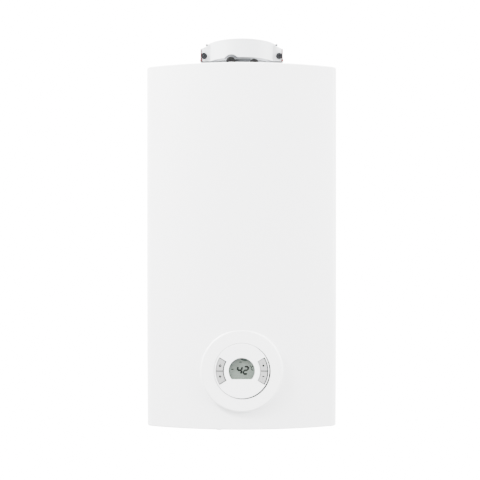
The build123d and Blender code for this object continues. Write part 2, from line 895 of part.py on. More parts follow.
def scroll_outline(inset, rise):
    # Three quarter arcs of growing radius, then the straight outlet upwards.
    start = scroll_start_radius - inset
    first = scroll_start_radius + scroll_growth / 2 - inset
    second = first + scroll_growth
    third = second + scroll_growth
    half_step = scroll_growth / 2
    tongue = scroll_end_radius - fan_outlet_width + inset
    side = scroll_end_radius - inset
    a = (-half_step, start)
    b = (-half_step - first, -half_step)
    c = (half_step, -half_step - second)
    d = (side, half_step)
    turn = sqrt(0.5)
    ab = (-half_step - first * turn, -half_step + first * turn)
    bc = (half_step - second * turn, -half_step - second * turn)
    cd = (half_step + third * turn, half_step - third * turn)
    curves = [
        Line((tongue, start), a),
        ThreePointArc(a, ab, b),
        ThreePointArc(b, bc, c),
        ThreePointArc(c, cd, d),
        Line(d, (side, rise)),
        Line((side, rise), (tongue, rise)),
        Line((tongue, rise), (tongue, start)),
    ]
    return make_face([edge for curve in curves for edge in curve.edges()])


def at_fan(sketch, y0, y1):
    return Pos(fan_x, 0, fan_level) * prism_y(sketch, y0, y1)


def fan_scroll():
    shell = at_fan(scroll_outline(0, outlet_rise), scroll_front, scroll_back)
    hollow = scroll_outline(scroll_wall, outlet_rise + 5)
    shell -= at_fan(hollow, scroll_front + scroll_wall, scroll_back - scroll_wall)
    shell -= at_fan(Circle(inlet_radius), scroll_back - scroll_wall - 1, scroll_back + 1)
    shell -= at_fan(Circle(opening_radius), scroll_front - 1, scroll_front + scroll_wall + 1)
    left = fan_x + scroll_end_radius - fan_outlet_width
    right = left + fan_outlet_width
    front = scroll_front - flange_rim
    back = scroll_back + flange_rim
    under = adapter_foot - flange_sheet
    flange = box(left - flange_rim, right + flange_rim, front, back, under, adapter_foot)
    inner = (left + scroll_wall, right - scroll_wall, scroll_front + scroll_wall, scroll_back - scroll_wall)
    return shell + (flange - box(*inner, adapter_foot - 3, adapter_foot + 1))


def outlet_adapter():
    # A cone from the round socket down to a flange with the scroll's oblong outlet.
    foot = adapter_foot + flange_sheet
    rise = socket_foot - foot
    place = Pos(0, flue_y, foot + rise / 2)
    body = place * Cone(cone_foot_radius + socket_wall, socket_outer, rise)
    half = fan_outlet_width / 2 + flange_rim
    body += box(-half, half, scroll_front - flange_rim, scroll_back + flange_rim, adapter_foot, foot)
    body -= place * Cone(cone_foot_radius, inner_flue_radius, rise + 0.001)
    half = fan_outlet_width / 2 - scroll_wall
    bore_front = scroll_front + scroll_wall
    return body - box(-half, half, bore_front, scroll_back - scroll_wall, adapter_foot - 1, foot + 1)


impeller_back = scroll_back - scroll_wall - impeller_gap
impeller_front = impeller_back - blade_width


def fan_impeller():
    # Forward-curved blades between a solid disc and a narrow shroud ring.
    disc = at_fan(Circle(impeller_radius), impeller_front - impeller_disc, impeller_front)
    hub = at_fan(Circle(impeller_hub_radius), impeller_front - impeller_disc, impeller_front + 10)
    shroud = at_fan(
        Circle(impeller_radius) - Circle(impeller_radius - shroud_width),
        impeller_back - impeller_disc,
        impeller_back,
    )
    wheel = disc + hub + shroud
    blades = []
    for place in range(blade_count):
        turn = 360 * place / blade_count
        blades.append(at_fan(Rot(0, 0, turn) * blade_shape(), impeller_front - 0.5, impeller_back - 1))
    wheel += blades
    return wheel - at_fan(Circle(shaft_radius), impeller_front - 10, impeller_front + 11)


def blade_shape():
    inner = blade_inner_radius
    outer = impeller_radius - 0.6
    low = (inner, 0)
    middle = ((inner + outer) / 2, 1.4)
    high = (outer * cos(radians(9)), outer * sin(radians(9)))
    outer_side = ThreePointArc(low, middle, high)
    lifted = [(x - blade_sheet * 0.3, y + blade_sheet * 0.95) for x, y in (low, middle, high)]
    inner_side = ThreePointArc(*lifted)
    curves = [outer_side, Line(high, lifted[2]), inner_side, Line(lifted[0], low)]
    return make_face([edge for curve in curves for edge in curve.edges()])


def fan_shaft():
    shaft = at_fan(Circle(shaft_radius), motor_front + 5, impeller_front + 12)
    nut = at_fan(hexagon(8) - Circle(shaft_radius), impeller_front + 10, impeller_front + 13)
    rotor = at_fan(Circle(rotor_radius), rotor_back - rotor_length, rotor_back)
    return [shaft - nut, nut, rotor - shaft]


def bearing_shape():
    return Circle(bearing_radius) - Circle(shaft_radius + bearing_gap)


def fan_bearings():
    front = motor_front + motor_wall
    back = scroll_front - bearing_length + 1
    return [
        at_fan(bearing_shape(), front, front + bearing_length),
        at_fan(bearing_shape(), back, back + bearing_length),
    ]


def motor_housing():
    plate = at_fan(Circle(plate_radius), scroll_front - 2, scroll_front)
    can = at_fan(Circle(motor_radius), motor_front, scroll_front - 1)
    can -= at_fan(Circle(motor_radius - motor_wall), motor_front + motor_wall, scroll_front - 2)
    back = scroll_front - bearing_length + 1
    front_cup = at_fan(Circle(bearing_radius + 2), motor_front, motor_front + motor_wall + bearing_length)
    back_cup = at_fan(Circle(bearing_radius + 2), back, scroll_front + 1)
    body = plate + can + front_cup + back_cup
    inner = motor_front + motor_wall
    body -= at_fan(Circle(bearing_radius), inner, inner + bearing_length + 1)
    body -= at_fan(Circle(bearing_radius), back, scroll_front + 2)
    for place in range(6):
        vent = Rot(0, 0, 30 + 60 * place) * Pos(motor_radius * 0.62, 0) * Rectangle(9, 4)
        body -= at_fan(vent, motor_front - 1, motor_front + motor_wall + 1)
    return body


def motor_stator():
    # Laminated ring with four wound poles.
    inner = motor_radius - motor_wall
    ring = Circle(inner) - Circle(inner - 4)
    for place in range(4):
        ring += Rot(0, 0, 90 * place) * Pos(rotor_radius + 4.5, 0) * Rectangle(7, 9)
    ring -= Circle(rotor_radius + 1)
    return at_fan(ring, rotor_back - rotor_length, rotor_back)


# Hood, heat exchanger and combustion chamber


jacket_half = jacket_width / 2
jacket_back = -jacket_wall_gap
jacket_front = jacket_back - jacket_depth
jacket_y = (jacket_back + jacket_front) / 2
flange_span = (jacket_front - flange_reach, jacket_back + flange_reach)
hood_top = fan_level - scroll_start_radius - 2 * scroll_growth - hood_fan_gap
jacket_top = hood_top - hood_height
jacket_foot = jacket_top - fin_height - 2 * fin_margin
tube_level = (jacket_top + jacket_foot) / 2
chamber_foot = jacket_foot - chamber_height
electrode_reach = 1.5 * electrode_pitch + 3
burner_foot = chamber_foot - burner_height
suction_y = (scroll_back + jacket_back) / 2
suction_depth = jacket_back - scroll_back
suction_top = fan_level + suction_rise


def duct(sheet, foot, top):
    # Four sheet walls with an outward flange at the top and the foot.
    inner = jacket_half - sheet
    walls = box(-jacket_half, jacket_half, jacket_front, jacket_back, foot, top)
    reach = jacket_half + flange_reach
    for level in (foot, top - sheet):
        walls += box(-reach, reach, *flange_span, level, level + sheet)
    return walls - box(-inner, inner, jacket_front + sheet, jacket_back - sheet, foot - 1, top + 1)


def flat_taper(lower, upper):
    # A solid with flat sides between two rectangles, each given as x0, x1, y0, y1, z.
    rings = []
    for x0, x1, y0, y1, z in (lower, upper):
        rings.append([(x0, y0, z), (x1, y0, z), (x1, y1, z), (x0, y1, z)])
    low, high = rings
    sides = [[low[i], low[(i + 1) % 4], high[(i + 1) % 4], high[i]] for i in range(4)]
    faces = [Face(Wire.make_polygon(corners, close=True)) for corners in [low[::-1], high, *sides]]
    return Solid(Shell(faces))


def taper(inset, foot):
    half = jacket_half - inset
    wide = (-half, half, jacket_front + inset, jacket_back - inset, foot)
    left = fan_x - suction_half_width + inset
    right = fan_x + suction_half_width - inset
    return flat_taper(wide, (left, right, scroll_back + inset, jacket_back - inset, hood_top))


def hood():
    left = fan_x - suction_half_width
    right = fan_x + suction_half_width
    sheet = hood_sheet
    shell = taper(0, jacket_top) + box(left, right, scroll_back, jacket_back, hood_top, suction_top)
    reach = jacket_half + flange_reach
    rim = box(-reach, reach, *flange_span, jacket_top, jacket_top + sheet)
    shell += rim
    shell -= taper(sheet, jacket_top - 0.01)
    shell -= box(
        left + sheet,
        right - sheet,
        scroll_back + sheet,
        jacket_back - sheet,
        hood_top - 0.01,
        suction_top - sheet,
    )
    shell -= at_fan(Circle(inlet_radius), scroll_back - 1, scroll_back + sheet + 1)
    for x, z in lug_points:
        shell -= rod_y(screw_radius, scroll_back - 1, scroll_back + sheet + 1, x, z)
    return shell


def scroll_lugs():
    lugs = []
    for x, z in lug_points:
        lug = rod_y(6, scroll_back - scroll_wall, scroll_back, x, z)
        side = 1 if x < fan_x else -1
        ends = sorted((x, x + side * 14))
        web = box(*ends, scroll_back - scroll_wall, scroll_back, z, z + 8)
        lugs.append(lug + web)
    return lugs


def screw(axis_y, x, seat, z, length):
    # A hexagon-headed screw along +Y, or down along -Z where axis_y is false.
    head = Pos(x, z) * hexagon(screw_flats)
    shank = Pos(x, z) * RegularPolygon(screw_radius, 8)
    if axis_y:
        return prism_y(head, seat - screw_head, seat) + prism_y(shank, seat, seat + length)
    return prism_z(head, seat, seat + screw_head) + prism_z(shank, seat - length, seat)


def hex_screws():
    solids = [screw(True, x, scroll_back - scroll_wall, z, 8) for x, z in lug_points]
    solids += [screw(False, x, top_face + base_flange_sheet, y, 9) for x, y in flue_screw_points]
    solids += [screw(False, x, over + bracket_sheet, bracket_screw_y, 6) for x in bracket_screw_xs]
    return solids


tube_rows = [jacket_y - tube_pitch, jacket_y, jacket_y + tube_pitch]


def hx_jacket():
    jacket = duct(jacket_sheet, jacket_foot, jacket_top)
    for y in tube_rows:
        jacket -= rod_x(tube_radius + tube_gap, -half_width, half_width, y, tube_level)
    return jacket


def hx_fins():
    fins = []
    edge = jacket_sheet + fin_gap
    outline = box(
        -fin_sheet / 2,
        fin_sheet / 2,
        jacket_front + edge,
        jacket_back - edge,
        jacket_foot + fin_margin,
        jacket_top - fin_margin,
    )
    for y in tube_rows:
        outline -= rod_x(tube_radius + tube_gap, -2, 2, y, tube_level)
    # The two hot-gas notches between the tubes, open at the foot.
    for y in (jacket_y - tube_pitch / 2, jacket_y + tube_pitch / 2):
        outline -= box(-2, 2, y - 3, y + 3, jacket_foot, tube_level - 4)
    for place in range(fin_count):
        fins.append(Pos((place - (fin_count - 1) / 2) * fin_pitch, 0, 0) * outline)
    return fins


coil_bend = tube_pitch / 2 - 0.1
leg_x = jacket_half + coil_bend + 1.1
turn_x = jacket_half + tube_stub + tube_pitch / 2
coil_foot = burner_foot - 8
leg_places = {"cold": (leg_x, tube_rows[0]), "hot": (-leg_x, tube_rows[2])}
joint_level = coil_foot - 40


def hx_tube():
    first, second, third = tube_rows
    points = [
        (leg_x, first, coil_foot),
        (leg_x, first, tube_level),
        (-turn_x, first, tube_level),
        (-turn_x, second, tube_level),
        (turn_x, second, tube_level),
        (turn_x, third, tube_level),
        (-leg_x, third, tube_level),
        (-leg_x, third, coil_foot),
    ]
    return pipe(points, coil_bend, tube_radius)


def combustion_chamber():
    chamber = duct(jacket_sheet, chamber_foot, jacket_foot)
    level = chamber_foot + electrode_rise
    reach = electrode_reach
    return chamber - box(-reach, reach, jacket_front - 1, jacket_front + 2, level - 6, level + 6)


def chamber_lining():
    # Fibre boards on the four walls, cut away at the electrodes.
    half = jacket_half - jacket_sheet - 0.1
    front = jacket_front + jacket_sheet + 0.1
    back = jacket_back - jacket_sheet - 0.1
    foot = chamber_foot + 2
    top = jacket_foot - 2
    ring = box(-half, half, front, back, foot, top)
    inner = half - lining_thickness
    ring -= box(-inner, inner, front + lining_thickness, back - lining_thickness, foot - 1, top + 1)
    reach = electrode_reach
    level = chamber_foot + electrode_rise
    return ring - box(-reach, reach, front - 1, front + lining_thickness + 1, foot - 1, level + 6)


def wall_rails():
    rails = []
    half = rail_length / 2
    web = jacket_back + 0.02
    seat = -panel_sheet - bead_depth - 0.02
    sheet = rail_sheet
    for level in (tube_level, chamber_foot + 30):
        low = level - rail_height / 2
        high = level + rail_height / 2
        rail = box(-half, half, web, web + sheet, low, high)
        rail += box(-half, half, web, seat, low, low + sheet)
        rail += box(-half, half, web, seat, high - sheet, high)
        rail += box(-half, half, seat - sheet, seat, low - 8, low + sheet)
        rail += box(-half, half, seat - sheet, seat, high - sheet, high + 8)
        rails.append(rail)
    return rails


def limiter():
    # A clip-on thermostat: a round cup on a strap, with two flat terminals.
    front = jacket_front - 0.02
    level = tube_level + limiter_radius
    x = limiter_inset - jacket_half
    sheet = 1.2
    strap = 1.5 * limiter_radius
    clip = rod_y(limiter_radius, front - 6, front, x, level)
    clip += box(x - strap, x + strap, front - sheet, front, level - 5, level + 5)
    for middle in (x - 4.6, x + 4.6):
        clip += box(middle - sheet / 2, middle + sheet / 2, front - 14, front - 5, level - 3, level + 3)
    return clip


# Burner


bar_top = chamber_foot - 3
bar_foot = bar_top - bar_height
port_level = bar_foot + 6
bar_front = jacket_front + rack_sheet + 1
bar_back = jacket_back - rack_sheet - 1
bar_xs = [(place - (burner_bars - 1) / 2) * burner_pitch for place in range(burner_bars)]
manifold_back = jacket_front - manifold_gap
manifold_front = manifold_back - manifold_side
manifold_y = (manifold_back + manifold_front) / 2
gas_entry = port_level - manifold_side / 2 - manifold_entry


def burner_bar_sheet():
    # One bar, with its flame slots along the crest and the gas port in its front.
    half = bar_thickness / 2
    bar = box(-half, half, bar_front, bar_back, bar_foot, bar_top)
    bar = chamfer(bar.edges().filter_by(Axis.Y).group_by(Axis.Z)[-1], 2.5)
    length = bar_back - bar_front
    for place in range(bar_slots):
        y = bar_front + length * (place + 0.5) / bar_slots
        slot = (y - bar_slot_width / 2, y + bar_slot_width / 2)
        bar -= box(-bar_slot_reach, bar_slot_reach, *slot, bar_top - bar_slot_depth, bar_top + 1)
    port = Pos(0, port_level) * RegularPolygon(bar_port_radius, 8)
    return bar - prism_y(port, bar_front - 1, bar_front + bar_port_depth)


def burner_frame():
    frame = box(-jacket_half, jacket_half, jacket_front, jacket_back, burner_foot, chamber_foot)
    reach = jacket_half + flange_reach
    frame += box(
        -reach,
        reach,
        *flange_span,
        chamber_foot - rack_sheet,
        chamber_foot,
    )
    inner = jacket_half - rack_sheet
    room = (jacket_front + rack_sheet, jacket_back - rack_sheet, burner_foot - 1, chamber_foot + 1)
    frame -= box(-inner, inner, *room)
    for x in bar_xs:
        window = box(x - 6, x + 6, jacket_front - 1, jacket_front + 3, port_level - 6, port_level + 6)
        frame -= window
    # Two combs carry the bars from below.
    for y in (bar_front + 2, bar_back - 4):
        frame += box(-inner - 1, inner + 1, y, y + rack_sheet, bar_foot - 8, bar_foot - 0.02)
    return frame


def gas_manifold():
    reach = bar_xs[-1] + manifold_end
    top = port_level + manifold_side / 2
    tube = box(-reach, reach, manifold_front, manifold_back, port_level - manifold_side / 2, top)
    tube += rod_z(pipe_radius + 3, gas_entry, port_level - manifold_side / 2 + 1, 0, manifold_y)
    tube -= rod_z(pipe_radius - pipe_wall, gas_entry - 1, port_level, 0, manifold_y)
    seat = jacket_front - 0.02
    for side in (-1, 1):
        # A lug at each end carries the manifold on the burner frame.
        x = side * (reach - lug_width / 2)
        left, right = x - lug_width / 2, x + lug_width / 2
        tube += box(left, right, manifold_back - 1, seat, top - lug_sheet, top)
        tube += box(left, right, seat - lug_sheet, seat, top - lug_sheet, top + lug_rise)
    return tube


def injectors():
    solids = []
    for x in bar_xs:
        section = Pos(x, port_level) * (hexagon(2 * injector_radius) - RegularPolygon(injector_bore, 6))
        solids.append(prism_y(section, manifold_back, manifold_back + injector_length))
    return solids


electrode_level = chamber_foot + electrode_rise
electrode_xs = [-electrode_pitch, 0.0, electrode_pitch]


def electrode_plate():
    reach = 1.5 * electrode_pitch + 8
    front = jacket_front - 1.5
    plate = box(-reach, reach, front, jacket_front - 0.02, electrode_level - 9, electrode_level + 9)
    for x in electrode_xs:
        plate -= rod_y(insulator_radius + 0.05, front - 1, jacket_front + 1, x, electrode_level)
    return plate


def electrode_insulators():
    solids = []
    for x in electrode_xs:
        front = jacket_front - electrode_front
        solids.append(rod_y(insulator_radius, front, front + insulator_length, x, electrode_level))
    return solids


def electrode_rods():
    solids = []
    for x in electrode_xs:
        front = jacket_front - electrode_front
        back = front + insulator_length + electrode_front
        wire = Pos(x, electrode_level) * RegularPolygon(electrode_radius, 8)
        solids.append(prism_y(wire, front - electrode_front / 2, front))
        turn = back - electrode_radius
        half = electrode_radius / 2
        tip = box(x - half, x + half, turn - half, turn + half, bar_top + 4, electrode_level)
        solids.append(prism_y(wire, front + insulator_length, back) + tip)
    return solids


# Gas


stub_foot = case_foot - connection_drop
union_top = over + sensor_rise
valve_foot = over + valve_rise
valve_top = valve_foot + valve_height
valve_mid = (valve_foot + valve_top) / 2
valve_half = valve_width / 2
nut_under = foot_face - lock_nut_height


def union_body(name, flats, top):
    x = connections[name]
    body = rod_z(thread_radii[name], stub_foot, nut_under, x, connection_y)
    body += rod_z(shank_radii[name], nut_under, top, x, connection_y)
    body += prism_z(Pos(x, connection_y) * hexagon(flats), over, over + union_hex_height)
    return body - rod_z(pipe_radius - pipe_wall, stub_foot - 1, top + 1, x, connection_y)


def lock_nut(name, flats):
    x = connections[name]
    nut = prism_z(Pos(x, connection_y) * hexagon(flats), nut_under, foot_face)
    return nut - rod_z(shank_radii[name], nut_under - 1, over, x, connection_y)


def unions():
    hot = union_body("hot", lock_nut_flats, union_top)
    cold = union_body("cold", lock_nut_flats, union_top)
    return [hot, cold, union_body("gas", gas_nut_flats, valve_foot)]


def lock_nuts():
    flats = {"hot": lock_nut_flats, "cold": lock_nut_flats, "gas": gas_nut_flats}
    return [lock_nut(name, flats[name]) for name in connections]


def gas_valve():
    front = connection_y - valve_depth / 2
    back = connection_y + valve_depth / 2
    body = box(-valve_half, valve_half, front, back, valve_foot, valve_top - 8)
    body = fillet(body.edges().filter_by(Axis.Z), 4)
    body += box(-valve_half + 6, valve_half - 6, front - 9, front + 1, valve_mid - 18, valve_mid + 14)
    body += rod_z(13, valve_top - 9, valve_top, 0, connection_y)
    body += rod_y(11, front - 15, front - 8, -12, valve_mid)
    body += rod_x(5, valve_half - 1, valve_half + coil_length - 1, connection_y, valve_mid)
    body -= rod_z(pipe_radius - pipe_wall, valve_foot - 1, valve_top + 1, 0, connection_y)
    bore = armature_radius + armature_gap
    return body - rod_x(bore, 0, valve_half + coil_length - 2, connection_y, valve_mid)


def valve_coil():
    left = valve_half + 0.1
    coil = rod_x(coil_radius, left, left + coil_length, connection_y, valve_mid)
    back = connection_y + coil_radius + 1
    yoke = box(left, left + coil_length, back - 4, back, valve_mid - 9, valve_mid + 9)
    low = valve_mid + coil_radius - 3
    plug = box(left + 6, left + 22, connection_y - 5, connection_y + 5, low, low + 12)
    return coil + yoke + plug - rod_x(5.05, left - 1, left + coil_length + 1, connection_y, valve_mid)


def valve_armature():
    tip = pipe_radius + 1
    return rod_x(armature_radius, tip, tip + armature_length, connection_y, valve_mid)


def gas_pipe():
    low = valve_top + 0.1
    middle = (valve_top + gas_entry) / 2
    points = [
        (0, connection_y, low),
        (0, connection_y, middle),
        (0, manifold_y, middle),
        (0, manifold_y, gas_entry - 0.1),
    ]
    return pipe(points, 16, pipe_radius)


def pipe_nut(x, y, level, flats=24):
    nut = prism_z(Pos(x, y) * hexagon(flats), level - 6, level + 6)
    return nut


# Water


sensor_top = union_top + sensor_height
turbine_level = (union_top + sensor_top) / 2
sensor_x = connections["cold"]
spider_gap = 1.0


def flow_sensor():
    body = rod_z(sensor_radius, union_top, sensor_top, sensor_x, connection_y)
    near = connection_y - 12
    pickup = box(sensor_x - 9, sensor_x + 9, near - 12, near, turbine_level - 10, turbine_level + 8)
    body += pickup
    body -= rod_z(sensor_bore_radius, union_top + 4, sensor_top - 4, sensor_x, connection_y)
    body -= rod_z(pipe_radius - pipe_wall, union_top - 1, sensor_top + 1, sensor_x, connection_y)
    half = turbine_length / 2 + spider_gap
    for foot in (turbine_level - half - spider_height, turbine_level + half):
        top = foot + spider_height
        spider = rod_z(3.2, foot, top, sensor_x, connection_y)
        reach = sensor_bore_radius + 1
        bar = spider_bar / 2
        spider += box(sensor_x - reach, sensor_x + reach, connection_y - bar, connection_y + bar, foot, top)
        spider += box(sensor_x - bar, sensor_x + bar, connection_y - reach, connection_y + reach, foot, top)
        bore = turbine_shaft_radius + bearing_gap
        body += spider - rod_z(bore, foot - 1, top + 1, sensor_x, connection_y)
    return body


def flow_turbine():
    hub = Cylinder(3.0, turbine_length)
    blade = Rot(35, 0, 0) * Box(turbine_radius, 1.2, 2 * turbine_length)
    wheel = hub
    for place in range(turbine_blades):
        wheel += Rot(0, 0, 360 * place / turbine_blades) * Pos(turbine_radius / 2 + 2, 0, 0) * blade
    wheel &= Cylinder(turbine_radius, turbine_length)
    half = turbine_length / 2 + spider_gap + spider_height - 0.5
    wheel += Cylinder(turbine_shaft_radius, 2 * half)
    return Pos(sensor_x, connection_y, turbine_level) * wheel


def water_pipe(name, foot):
    x, y = leg_places[name]
    across = connections[name]
    points = [
        (x, y, coil_foot - 0.1),
        (x, y, joint_level),
        (across, connection_y, joint_level),
        (across, connection_y, foot),
    ]
    return pipe(points, 14, pipe_radius)


def joint_nuts():
    # Union nuts over the pipe joints, each bored for the wider of its two pipes.
    nuts = []
    for name in ("cold", "hot"):
        x, y = leg_places[name]
        nut = pipe_nut(x, y, coil_foot)
        nut -= rod_z(tube_radius + 0.05, coil_foot - 7, coil_foot + 7, x, y)
        nuts.append(nut)
    for x, seat in ((sensor_x, sensor_top), (0.0, valve_top)):
        nut = prism_z(Pos(x, connection_y) * hexagon(24), seat, seat + 10)
        nuts.append(nut - rod_z(pipe_radius + 0.05, seat - 1, seat + 11, x, connection_y))
    hot = connections["hot"]
    nut = prism_z(Pos(hot, connection_y) * hexagon(27), union_top, union_top + 10)
    nuts.append(nut - rod_z(pipe_radius + 0.05, union_top - 1, union_top + 11, hot, connection_y))
    return nuts


def temperature_sensor():
    x = connections["hot"]
    level = (joint_level + union_top) / 2
    block = box(x - 10, x + 10, connection_y - 10, connection_y + 10, level - 5, level + 5)
    block += rod_y(3, connection_y - 22, connection_y - 9, x, level)
    return block - rod_z(pipe_radius + 0.05, level - 6, level + 6, x, connection_y)


# Electrics


box_left = box_side_room - half_width
box_right = box_left + box_width
box_foot = over + box_rise
box_top = port_level - manifold_side / 2 - box_gap
box_back = connection_y - box_ahead
box_front = box_back - box_depth
post_xs = (box_left + post_inset, box_right - post_inset)
post_levels = (box_foot + post_inset, box_top - post_inset)
slot_xs = [box_left + box_width * share for share in (0.2, 0.475, 0.75)]
cable_slot_width = 14.0
bracket_x = box_left + box_width * 0.675
bracket_screw_xs = (bracket_x - bracket_screw_pitch / 2, bracket_x + bracket_screw_pitch / 2)
bracket_screw_y = box_back - 13.0


def control_box():
    case = box(box_left, box_right, box_front, box_back, box_foot, box_top)
    case = fillet(case.edges().filter_by(Axis.Y), box_corner)
    wall = box_wall
    depth = (box_front - 1, box_back - wall)
    case -= box(box_left + wall, box_right - wall, *depth, box_foot + wall, box_top - wall)
    half = post_side / 2
    post_front = box_back - wall - board_standoff
    for x in post_xs:
        for z in post_levels:
            case += box(x - half, x + half, post_front, box_back - 1, z - half, z + half)
    for x in slot_xs:
        case -= box(x, x + cable_slot_width, box_front + 8, box_front + 20, box_foot - 1, box_foot + wall + 1)
    return case


def control_lid():
    lid = box(box_left, box_right, box_front - lid_sheet, box_front, box_foot, box_top)
    lid = fillet(lid.edges().filter_by(Axis.Y), box_corner)
    inner = box_wall + 0.2
    room = (box_front, box_front + lid_lip, box_foot + inner, box_top - inner)
    lip = box(box_left + inner, box_right - inner, *room)
    hollow = inner + 1.5
    room = (box_front - 1, box_front + lid_lip + 1, box_foot + hollow, box_top - hollow)
    lid += lip - box(box_left + hollow, box_right - hollow, *room)
    slit = (box_left + box_width * 0.275, box_right - box_width * 0.275)
    for place in range(lid_slits):
        z = box_top - (box_top - box_foot) * (0.185 + 0.065 * place)
        lid -= box(*slit, box_front - 3, box_front + 1, z - lid_slit_width / 2, z + lid_slit_width / 2)
    return lid


# The board's larger parts: shares of its width and height, and how far each stands out.
board_parts = [
    (0.08, 0.42, 0.46, 0.74, 20.0),
    (0.53, 0.75, 0.56, 0.68, 14.0),
    (0.53, 0.75, 0.72, 0.84, 14.0),
    (0.42, 0.64, 0.22, 0.38, 2.0),
    (0.17, 0.36, 0.01, 0.10, 9.0),
    (0.47, 0.67, 0.01, 0.10, 9.0),
    (0.78, 0.97, 0.01, 0.10, 9.0),
]
capacitor_places = [(0.86, 0.31), (0.86, 0.46)]
capacitor_radius = 6.0
capacitor_height = 17.0


def control_board():
    back = box_back - box_wall - board_standoff
    front = back - board_sheet
    left, foot = box_left + board_margin, box_foot + board_margin
    width = box_width - 2 * board_margin
    height = box_top - box_foot - 2 * board_margin
    board = box(left, left + width, front, back, foot, foot + height)
    for x0, x1, z0, z1, stand in board_parts:
        sides = (left + width * x0, left + width * x1)
        board += box(*sides, front - stand, front, foot + height * z0, foot + height * z1)
    for x, z in capacitor_places:
        board += rod_y(capacitor_radius, front - capacitor_height, front, left + width * x, foot + height * z)
    return board


def box_bracket():
    # An angle that stands on the foot panel and carries the box on its upright plate.
    front = box_back + 0.02
    back = box_back + bracket_sheet
    left, right = bracket_x - bracket_width / 2, bracket_x + bracket_width / 2
    plate = box(box_left + 6, box_right - 4, front, back, box_foot + 3, box_top - 6)
    plate += box(left, right, front, back, over + 0.02, box_foot + 6)
    foot = box(left, right, box_back - bracket_depth, back, over + 0.02, over + bracket_sheet)
    for x in bracket_screw_xs:
        foot -= rod_z(screw_radius, over - 1, over + 4, x, bracket_screw_y)
    return plate + foot


def cable_gland():
    place = Pos(gland_x, gland_y)
    body = rod_z(gland_radius - 0.1, foot_face - 4, over + gland_rise, gland_x, gland_y)
    body += prism_z(place * hexagon(gland_nut_flats), foot_face - 5, foot_face)
    body += rod_z(gland_cap_radius, foot_face - gland_cap_drop, foot_face - 5, gland_x, gland_y)
    body += prism_z(place * hexagon(gland_nut_flats), over, over + 5)
    bore = (foot_face - gland_cap_drop - 1, over + gland_rise + 1)
    return body - rod_z(gland_bore, *bore, gland_x, gland_y)


def igniter():
    # A moulded block on the middle bead, with two high-voltage terminals on top.
    back = -panel_sheet - bead_depth - 0.02
    x = bead_spacing - 10
    top = joint_level - igniter_drop
    foot = top - igniter_height
    half = igniter_width / 2
    case = box(x - half, x + half, back - igniter_depth, back, foot, top)
    case = chamfer(case.edges().group_by(Axis.Y)[0], 1.5)
    ears = half + 8
    case += box(x - ears, x + ears, back - 2, back, foot + 10, top - 10)
    for side in (-10, 10):
        ring = Circle(terminal_radius) - Circle(terminal_radius / 2)
        case += prism_z(Pos(x + side, back - igniter_depth / 2) * ring, top - 1, top + 8)
    return case


def pressure_switch():
    # A round diaphragm switch with its nipple to the front and a terminal above.
    back = -panel_sheet - 0.02
    case = box(switch_x - 12, switch_x + 12, back - 5, back, nipple_level - 12, nipple_level + 12)
    case += rod_y(switch_radius, back - 12, back - 4, switch_x, nipple_level)
    case += rod_y(switch_cap_radius, back - switch_depth, back - 11, switch_x, nipple_level)
    front = back - switch_depth
    case += rod_y(nipple_radius, front - nipple_length, front + 1, switch_x, nipple_level)
    top = nipple_level + switch_radius
    return case + box(switch_x - 0.5, switch_x + 0.5, back - 11, back - 5, top - 2, top + 12)


def scroll_nipple():
    side = fan_x + scroll_end_radius
    nipple = rod_x(nipple_radius, side - 1, side + nipple_length, flue_y, nipple_level)
    ends = (side - scroll_wall - 1, side + nipple_length + 1)
    return nipple, rod_x(nipple_bore_radius, *ends, flue_y, nipple_level)


def pressure_hose():
    # Level, with one bend, from the scroll's nipple back to the switch's.
    side = fan_x + scroll_end_radius
    seat = -panel_sheet - switch_depth - 0.1
    level = nipple_level
    points = [(side + 0.1, flue_y, level), (switch_x, flue_y, level), (switch_x, seat, level)]
    bore = nipple_radius + 0.05
    hose = pipe(points, 20, bore + hose_wall)
    hose -= rod_x(bore, side, side + nipple_length, flue_y, nipple_level)
    return hose - rod_y(bore, seat - nipple_length - 0.1, seat + 1, switch_x, nipple_level)


